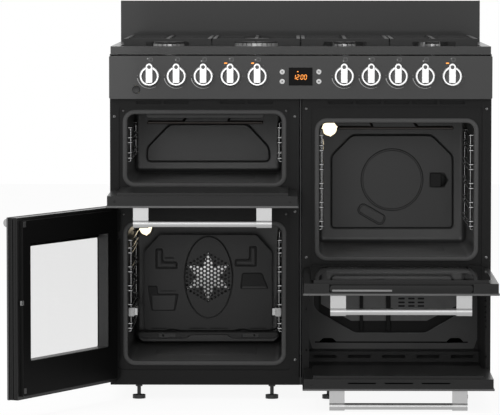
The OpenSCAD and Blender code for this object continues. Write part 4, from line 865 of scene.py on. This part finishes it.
wires = []
for side in (-1, 1):
    wires += rack(-COL, side, GRILL_RUNGS, 0.716)
    wires += rack(-COL, side, OVEN_RUNGS, 0.4194)
    wires += rack(COL, side, TALL_RUNGS, 0.6967)
    rail_x = -COL + side * 0.1875
    wires.append(box("runner rail", (rail_x - 0.002, -0.2315, 0.2194), (rail_x + 0.002, 0.1215, 0.2414),
                     M_CHROME, "cabinet", bevel=0.0008))
    x0, x1 = sorted((-COL + side * 0.1865, -COL + side * 0.2018))
    wires.append(box("runner rail cap", (x0, -0.2362, 0.2180), (x1, -0.2300, 0.2412), M_CAP_GREY,
                     "cabinet", bevel=0.0022, segments=3))
racks = joined("rack wires", wires)
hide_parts("side_racks")

# oven lamps: dark bezel and a ribbed glass in each
LAMP_Y, LAMP_DEEP = 0.1786, 0.0138
for tag, x, z, r, bezel in (("fan", -0.424, 0.4200, 0.0152, 0.0208),
                            ("tall", 0.080, 0.6967, 0.0196, 0.0226)):
    turned(f"lamp {tag} bezel", [(bezel, 0.0), (bezel, 0.012), (bezel - 0.0012, LAMP_DEEP),
                                 (r + 0.0004, LAMP_DEEP), (r + 0.0004, 0.0)], M_FAN_CAVITY, "cabinet",
           (x, LAMP_Y, z), n=40)
    dome = [(r, 0.0)]
    for k in range(1, 9):
        a = math.radians(11.2 * k)
        ripple = 0.0005 * (k % 2)
        dome.append((r * math.cos(a) + ripple, LAMP_DEEP + r * 0.72 * math.sin(a)))
    lens = [turned(f"lamp {tag} glass", dome, M_LAMP, "cabinet", (x, LAMP_Y, z), n=40)]
    for a in (13, 183, 278):
        lug = (x + r * math.cos(math.radians(a)), LAMP_Y, z + r * math.sin(math.radians(a)))
        lens.append(turned("lug", [(0.0026, 0.0), (0.0026, 0.0150), (0.0016, 0.0160)], M_LAMP, "cabinet",
                           lug, n=12))
    lens = joined(f"lamp {tag} glass", lens)
    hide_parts("oven_lamps")

# doors: black-bordered glass with clear windows, drawn closed and turned open
INNER_Y = -0.2620
WALL_Y0, WALL_Y1 = -0.2948, -0.2662


def glass_sheet(name, outer, window, body, place):
    """Glass with ground edges; a window is left open where its outline is given."""
    rim = 0.0006
    y0, y1 = FRONT, FRONT + GLASS_T
    rows = [(inset(outer, rim), y0), (outer, y0 + rim), (outer, y1 - rim), (inset(outer, rim), y1)]
    if window is None:
        obj = layers(name, rows, M_GLASS_BLACK, body, place, angle=30, base=True)
    else:
        rows += [(window, y1), (window, y0), rows[0]]
        obj = layers(name, rows, M_GLASS_BLACK, body, place, angle=30, lid=False)
    obj.data.materials.append(M_GLASS_EDGE)
    n = len(outer)
    for face in obj.data.polygons:
        ring = sorted({v // n for v in face.vertices})
        if ring in ([0, 1], [1, 2], [2, 3]) and len(face.vertices) == 4:
            face.material_index = 1
    return obj


def window_pane(name, outline, y, body, place):
    pane = layers(name, [(outline, y), (inset(outline, 0.004), y)], M_GLASS, body, place)
    return pane


def glazed_door(tag, body, place, outer, window, inner, edge, hole, edge_mat, lined):
    """Outer sheet, its clear window and the inner pane, with a black border and the walls between."""
    made = (glass_sheet(f"{tag} door glass", outer, window, body, place),
            window_pane(f"{tag} door clear glass", inset(window, 0.0002), FRONT + GLASS_T / 2, body, place),
            window_pane(f"{tag} door inner pane", inner, INNER_Y - 0.0013, body, place))
    ring_plate(f"{tag} door inner black", edge, hole, INNER_Y, INNER_Y + 0.0004, edge_mat, body, place)
    xc, zc, w, h = lined
    ring_plate(f"{tag} door window wall", rounded(xc, zc, w, h, 0.006, 5),
               rounded(xc, zc, w - 0.002, h - 0.002, 0.005, 5), WALL_Y0, WALL_Y1, M_SPACER, body, place)
    return made


# side-hung oven door
inner_win = rounded(-DOOR_X, 0.2965, 0.387, 0.298, 0.006, 5)
sheet, pane, inner_pane = glazed_door(
    "side", "oven_door", SIDE, rounded(-DOOR_X, 0.2822, DOOR_W, 0.4616, 0.003, 5),
    rounded(-0.2518, 0.2903, 0.3890, 0.2867, 0.005, 5), inner_win,
    rounded(-0.2535, 0.2822, 0.461, 0.4410, 0.006, 5), inner_win, M_INNER,
    (-DOOR_X, 0.2965, 0.3878, 0.2988))
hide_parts("oven_door_glass")
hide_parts("oven_door_glass")
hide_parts("oven_door_inner_glass")
# the middle rib is painted shade of the groove between the two black ribs
for k, (y, mat) in enumerate(((-0.2905, M_DARK_STEEL_AND_SHADE), (-0.2840, M_PAINTED_OPENING_SHADE), (-0.2765, M_DARK_STEEL_AND_SHADE))):
    box(f"side door edge rib {k}", (-0.0082, y, 0.056), (-0.0074, y + 0.0016, 0.508), mat, "oven_door",
        SIDE, bevel=0.0003)
box("side door latch", (-0.0215, -0.2630, 0.292), (-0.0090, -0.2585, 0.304), M_SCREW, "oven_door", SIDE,
    bevel=0.001)
for k, z in enumerate((0.075, 0.495)):
    box(f"side door corner clip {k}", (-0.034, -0.2623, z - 0.007), (-0.023, -0.2596, z + 0.007), M_NUT_GREY_AND_PAINTED_LINES,
        "oven_door", SIDE, bevel=0.001)

# tall oven door
sheet, pane, inner_pane = glazed_door(
    "tall", "tall_door", TALL, rounded(DOOR_X, 0.554, DOOR_W, 0.474, 0.003, 5),
    rounded(DOOR_X, 0.5625, 0.396, 0.381, 0.006, 5), rounded(DOOR_X, 0.5625, 0.372, 0.352, 0.014, 5),
    rounded(DOOR_X, 0.5640, 0.452, 0.430, 0.016, 5), rounded(DOOR_X, 0.5625, 0.370, 0.350, 0.014, 5),
    M_GLASS_BLACK, (DOOR_X, 0.5625, 0.3974, 0.3824))
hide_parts("tall_door_glass")
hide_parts("tall_door_glass")
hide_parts("tall_door_inner_glass")
for k, z in enumerate((0.3735, 0.7395)):
    box(f"tall door glass strip {k}", (0.066, -0.2650, z), (0.436, -0.2644, z + 0.012), M_PLATE,
        "tall_door", TALL)

# grill and storage doors
sheet = glass_sheet("grill door glass sheet", rounded(-DOOR_X, 0.654, DOOR_W, 0.274, 0.003, 5), None,
                    "grill_door", GRILL)
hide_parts("grill_door_glass")
sheet = glass_sheet("storage door sheet", rounded(DOOR_X, 0.1822, DOOR_W, 0.2616, 0.003, 5), None,
                    "storage_door", STORAGE)
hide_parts("storage_door_panel")
for tag, xc, top, place in (("grill", -DOOR_X, DOOR_TOP, GRILL), ("tall", DOOR_X, DOOR_TOP, TALL),
                            ("storage", DOOR_X, STORAGE_TOP, STORAGE)):
    for side in (-1, 1):
        # screws on the upper edge of the door, which shows when it is open
        turned(f"{tag} edge screw {side + 2}", [(0.0036, top - 0.001), (0.0036, top + 0.0004),
                                                (0.0024, top + 0.0008)], M_DARK_STEEL_AND_SHADE, f"{tag}_door",
               (xc + side * 0.224, -0.2835, 0), axis="z", n=16, place=place)

# slots in the upper edges of the tall and storage doors, drawn as dark plates: painted shade in the slots
shape = rounded(DOOR_X, -0.2830, 0.357, 0.0180, 0.0080, 6)
layers("tall door slot", [(shape, 0.0), (inset(shape, 0.001), 0.0003)], M_DARK_STEEL_AND_SHADE, "tall_door",
       TALL @ Matrix.Translation((0, 0, DOOR_TOP + 0.0002)) @ FLAT)
strip = rounded(DOOR_X - 0.098, -0.2875, 0.150, 0.0050, 0.0020, 4)
layers("tall door slot view", [(strip, 0.0), (inset(strip, 0.0005), 0.0003)], M_PLATE, "tall_door",
       TALL @ Matrix.Translation((0, 0, DOOR_TOP + 0.0005)) @ FLAT)
for k, (x0, x1) in enumerate(((0.1199, 0.1943), (0.2140, 0.2892), (0.3091, 0.3843))):
    shape = [(x0, -0.2790), (x1, -0.2790), (x1 - 0.003, -0.2822), (x0 + 0.003, -0.2822)]
    layers(f"storage door slot {k}", [(shape, 0.0), (inset(shape, 0.0004), 0.0003)], M_PAINTED_OPENING_SHADE,
           "storage_door", STORAGE @ Matrix.Translation((0, 0, STORAGE_TOP + 0.0012)) @ FLAT)

# black sheet behind the vents, painted shade for the dark inside them, and the screws of the front frames
# and cavities
for k, (x0, x1) in enumerate(((-0.494, -0.010), (0.010, 0.494))):
    box(f"air duct {k}", (x0, -0.2440, 0.7740), (x1, -0.2425, 0.7950), M_DARK_STEEL_AND_SHADE, "cabinet")
for k, (x, z) in enumerate(((-0.4881, 0.7474), (-0.0151, 0.7476), (-0.0144, 0.4978),
                            (-0.0141, 0.1073), (0.0147, 0.7681), (0.4870, 0.7683),
                            (0.0151, 0.3772), (0.4874, 0.3777), (-0.4887, 0.4974))):
    screw(f"frame screw {k}", x, -0.2621, z, M_SCREW, 0.0036, turn=17 * k)
for k, (x, z) in enumerate(((-0.4653, 0.7618), (-0.0379, 0.7620), (-0.4652, 0.4906),
                            (-0.0380, 0.4909))):
    screw(f"flange screw {k}", x, -0.2541, z, M_SCREW, 0.0030, turn=31 * k)

# storage compartment: sheet seen through the cut-out, its bars, slots, rim and springs
LIT_Y = 0.1722
plate("storage rear shade", rounded(DOOR_X, 0.196, 0.444, 0.204, 0.004, 4), LIT_Y + 0.0006, LIT_Y + 0.0010,
      M_DARK_STEEL_AND_SHADE, "cabinet")
plate("storage rear sheet", [(0.0575, 0.2629), (0.0576, 0.2132), (0.1401, 0.1672),
                             (0.3490, 0.1675), (0.4395, 0.2137), (0.4393, 0.2633)],
      LIT_Y, LIT_Y + 0.0005, M_PLATE, "cabinet")
for k, (x0, x1) in enumerate(((0.1639, 0.1730), (0.2362, 0.2483))):
    box(f"storage bar {k}", (x0, LIT_Y - 0.012, 0.142), (x1, LIT_Y - 0.0005, 0.294), M_DARK_STEEL_AND_SHADE,
        "cabinet", bevel=0.001)
# slots drawn as black plates on the sheet: painted shade
slots = []
for x in (0.2788, 0.3060, 0.3321):
    for z in (0.2384, 0.2284, 0.2179, 0.2080):
        slots.append(plate("storage slot", rounded(x, z, 0.0180, 0.0048, 0.0018, 3), LIT_Y - 0.0004,
                           LIT_Y, M_DARK_STEEL_AND_SHADE, "cabinet"))
joined("storage slots", slots)
cut = soft_outline([(0.0364, 0.2658), (0.0365, 0.2122), (0.0464, 0.1965),
                    (0.1501, 0.1366), (0.3441, 0.1368), (0.4476, 0.1970),
                    (0.4585, 0.2126), (0.4583, 0.2663)], 0.010, 4)
around = soft_outline([(0.025, 0.3000), (0.025, 0.200), (0.025, 0.120), (0.034, 0.0935),
                       (0.476, 0.0935), (0.485, 0.120), (0.485, 0.200), (0.485, 0.3000)], 0.004, 4)
ring_plate("storage rear wall", around, cut, 0.1392, 0.1408, M_WALL, "cabinet")
bead("storage cut-out rim", cut, 0.1388, 0.0013, M_PLATE, n=8)
# humps, rail and upright holes drawn as near-black plates: painted shade
for k, (x, z) in enumerate(((0.0761, 0.1173), (0.4244, 0.1177))):
    plate(f"storage hump {k}", soft_outline([(x - 0.0250, z - 0.0060), (x + 0.0250, z - 0.0060),
                                             (x + 0.0130, z + 0.0055), (x - 0.0130, z + 0.0055)],
                                            0.004, 3), 0.1382, 0.1390, M_PAINTED_OPENING_SHADE, "cabinet")
box("storage rail", (0.0410, 0.1375, 0.1101), (0.4597, 0.1390, 0.1133), M_PAINTED_OPENING_SHADE, "cabinet", bevel=0.0004)
holes = []
for x, z in ((0.4872, 0.2635), (0.4872, 0.2477), (0.4873, 0.2332), (0.4863, 0.2205), (0.4874, 0.2100),
             (0.4875, 0.1944), (0.4878, 0.1156), (0.0155, 0.2406), (0.0157, 0.1320)):
    holes.append(turned("hole", [(0.0024, 0.0), (0.0024, 0.0004), (0.0014, 0.0006)], M_PAINTED_OPENING_SHADE, "cabinet",
                        (x, -0.2604, z), n=14))
joined("upright holes", holes)
COIL_R, COIL_RISE, COIL_STEPS = 0.0062, 0.00028, 14
for k, (x, z) in enumerate(((0.0756, 0.0746), (0.4294, 0.0751))):
    coil = []
    for m in range(85):
        a = 2 * math.pi * m / COIL_STEPS
        coil.append((x + COIL_R * math.cos(a), -0.2500 + COIL_R * math.sin(a), z - 0.0115 + COIL_RISE * m))
    tube(f"storage hinge spring {k}", coil, 0.0012, M_SATIN_AND_FAN_SHADE, "cabinet", n=6)


# ------------------------------------------------------------------- stage


def direct_ray(tree):
    """Value that is 1 for rays from the camera, through glass or off a mirror."""
    path = put(tree, "ShaderNodeLightPath")
    seen = put(tree, "ShaderNodeMath", operation="MAXIMUM")
    link(tree, path, "Is Camera Ray", seen, 0)
    link(tree, path, "Is Transmission Ray", seen, 1)
    direct = put(tree, "ShaderNodeMath", operation="MAXIMUM")
    link(tree, seen, "Value", direct, 0)
    link(tree, path, "Is Glossy Ray", direct, 1)
    return direct


def studio_floor():
    """Pale floor, white where it is seen or mirrored, with a part left for the shadow."""
    mat = bpy.data.materials.new("studio floor")
    tree = empty_tree(mat)
    out = put(tree, "ShaderNodeOutputMaterial")
    matte = put(tree, "ShaderNodeBsdfDiffuse", {"Color": (0.9, 0.9, 0.9, 1)})
    white = put(tree, "ShaderNodeEmission", {"Strength": 0.92})
    faint = put(tree, "ShaderNodeBsdfDiffuse", {"Color": (0.14, 0.14, 0.14, 1)})
    seen_floor = put(tree, "ShaderNodeAddShader")
    link(tree, white, "Emission", seen_floor, 0)
    link(tree, faint, "BSDF", seen_floor, 1)
    mix = put(tree, "ShaderNodeMixShader")
    link(tree, direct_ray(tree), "Value", mix, "Fac")
    link(tree, matte, "BSDF", mix, 1)
    link(tree, seen_floor, "Shader", mix, 2)
    link(tree, mix, "Shader", out, "Surface")
    return mat


floor = bpy.data.meshes.new("floor")
floor.from_pydata([(-9, -9, 0), (9, -9, 0), (9, 9, 0), (-9, 9, 0)], [], [(0, 1, 2, 3)])
floor_obj = bpy.data.objects.new("floor", floor)
bpy.context.collection.objects.link(floor_obj)
floor.materials.append(studio_floor())


def area(name, place, target, size_x, size_y, power):
    """Rectangular lamp that looks at a target."""
    light = bpy.data.lights.new(name, "AREA")
    light.shape = "RECTANGLE"
    light.size = size_x
    light.size_y = size_y
    light.energy = power
    obj = bpy.data.objects.new(name, light)
    bpy.context.collection.objects.link(obj)
    obj.location = place
    obj.rotation_euler = (Vector(target) - Vector(place)).to_track_quat("-Z", "Y").to_euler()


area("key", (-2.6, -4.2, 3.6), (0, 0, 0.6), 2.4, 2.4, 75)
area("fill", (3.0, -4.0, 2.0), (0, 0, 0.5), 2.6, 2.6, 20)
area("front", (0.0, -6.0, 1.6), (0, 0, 0.5), 3.0, 1.6, 30)
area("top", (0, 0.2, 3.6), (0, 0, 0.6), 2.5, 2.5, 30)
area("left strip", (-1.7, -9.9, 1.2), (-0.4, 0, 0.8), 1.7, 4.0, 45)

world = bpy.data.worlds.new("studio")
bpy.context.scene.world = world
tree = empty_tree(world)
out = put(tree, "ShaderNodeOutputWorld")
white = put(tree, "ShaderNodeBackground", {"Color": (1, 1, 1, 1), "Strength": 1.0})
light = put(tree, "ShaderNodeBackground", {"Color": (1, 1, 1, 1), "Strength": 0.35})
mix = put(tree, "ShaderNodeMixShader")
link(tree, direct_ray(tree), "Value", mix, "Fac")
link(tree, light, "Background", mix, 1)
link(tree, white, "Background", mix, 2)
link(tree, mix, "Shader", out, "Surface")

scene = bpy.context.scene
scene.view_settings.view_transform = "Standard"
cam_data = bpy.data.cameras.new("camera")
cam = bpy.data.objects.new("camera", cam_data)
bpy.context.collection.objects.link(cam)
# camera fitted to the photo: focal length in pixels of the photo's width, angles in degrees
FOCAL_PX, PHOTO_W = 3631.5, 500
PITCH_DOWN, TURN_LEFT = 3.89, 0.679
cam_data.sensor_width = 36
cam_data.lens = FOCAL_PX * cam_data.sensor_width / PHOTO_W
cam_data.clip_end = 60
cam.location = (-0.0198, -9.773, 1.1553)
cam.rotation_euler = (math.radians(90 - PITCH_DOWN), 0, math.radians(TURN_LEFT))
scene.camera = cam
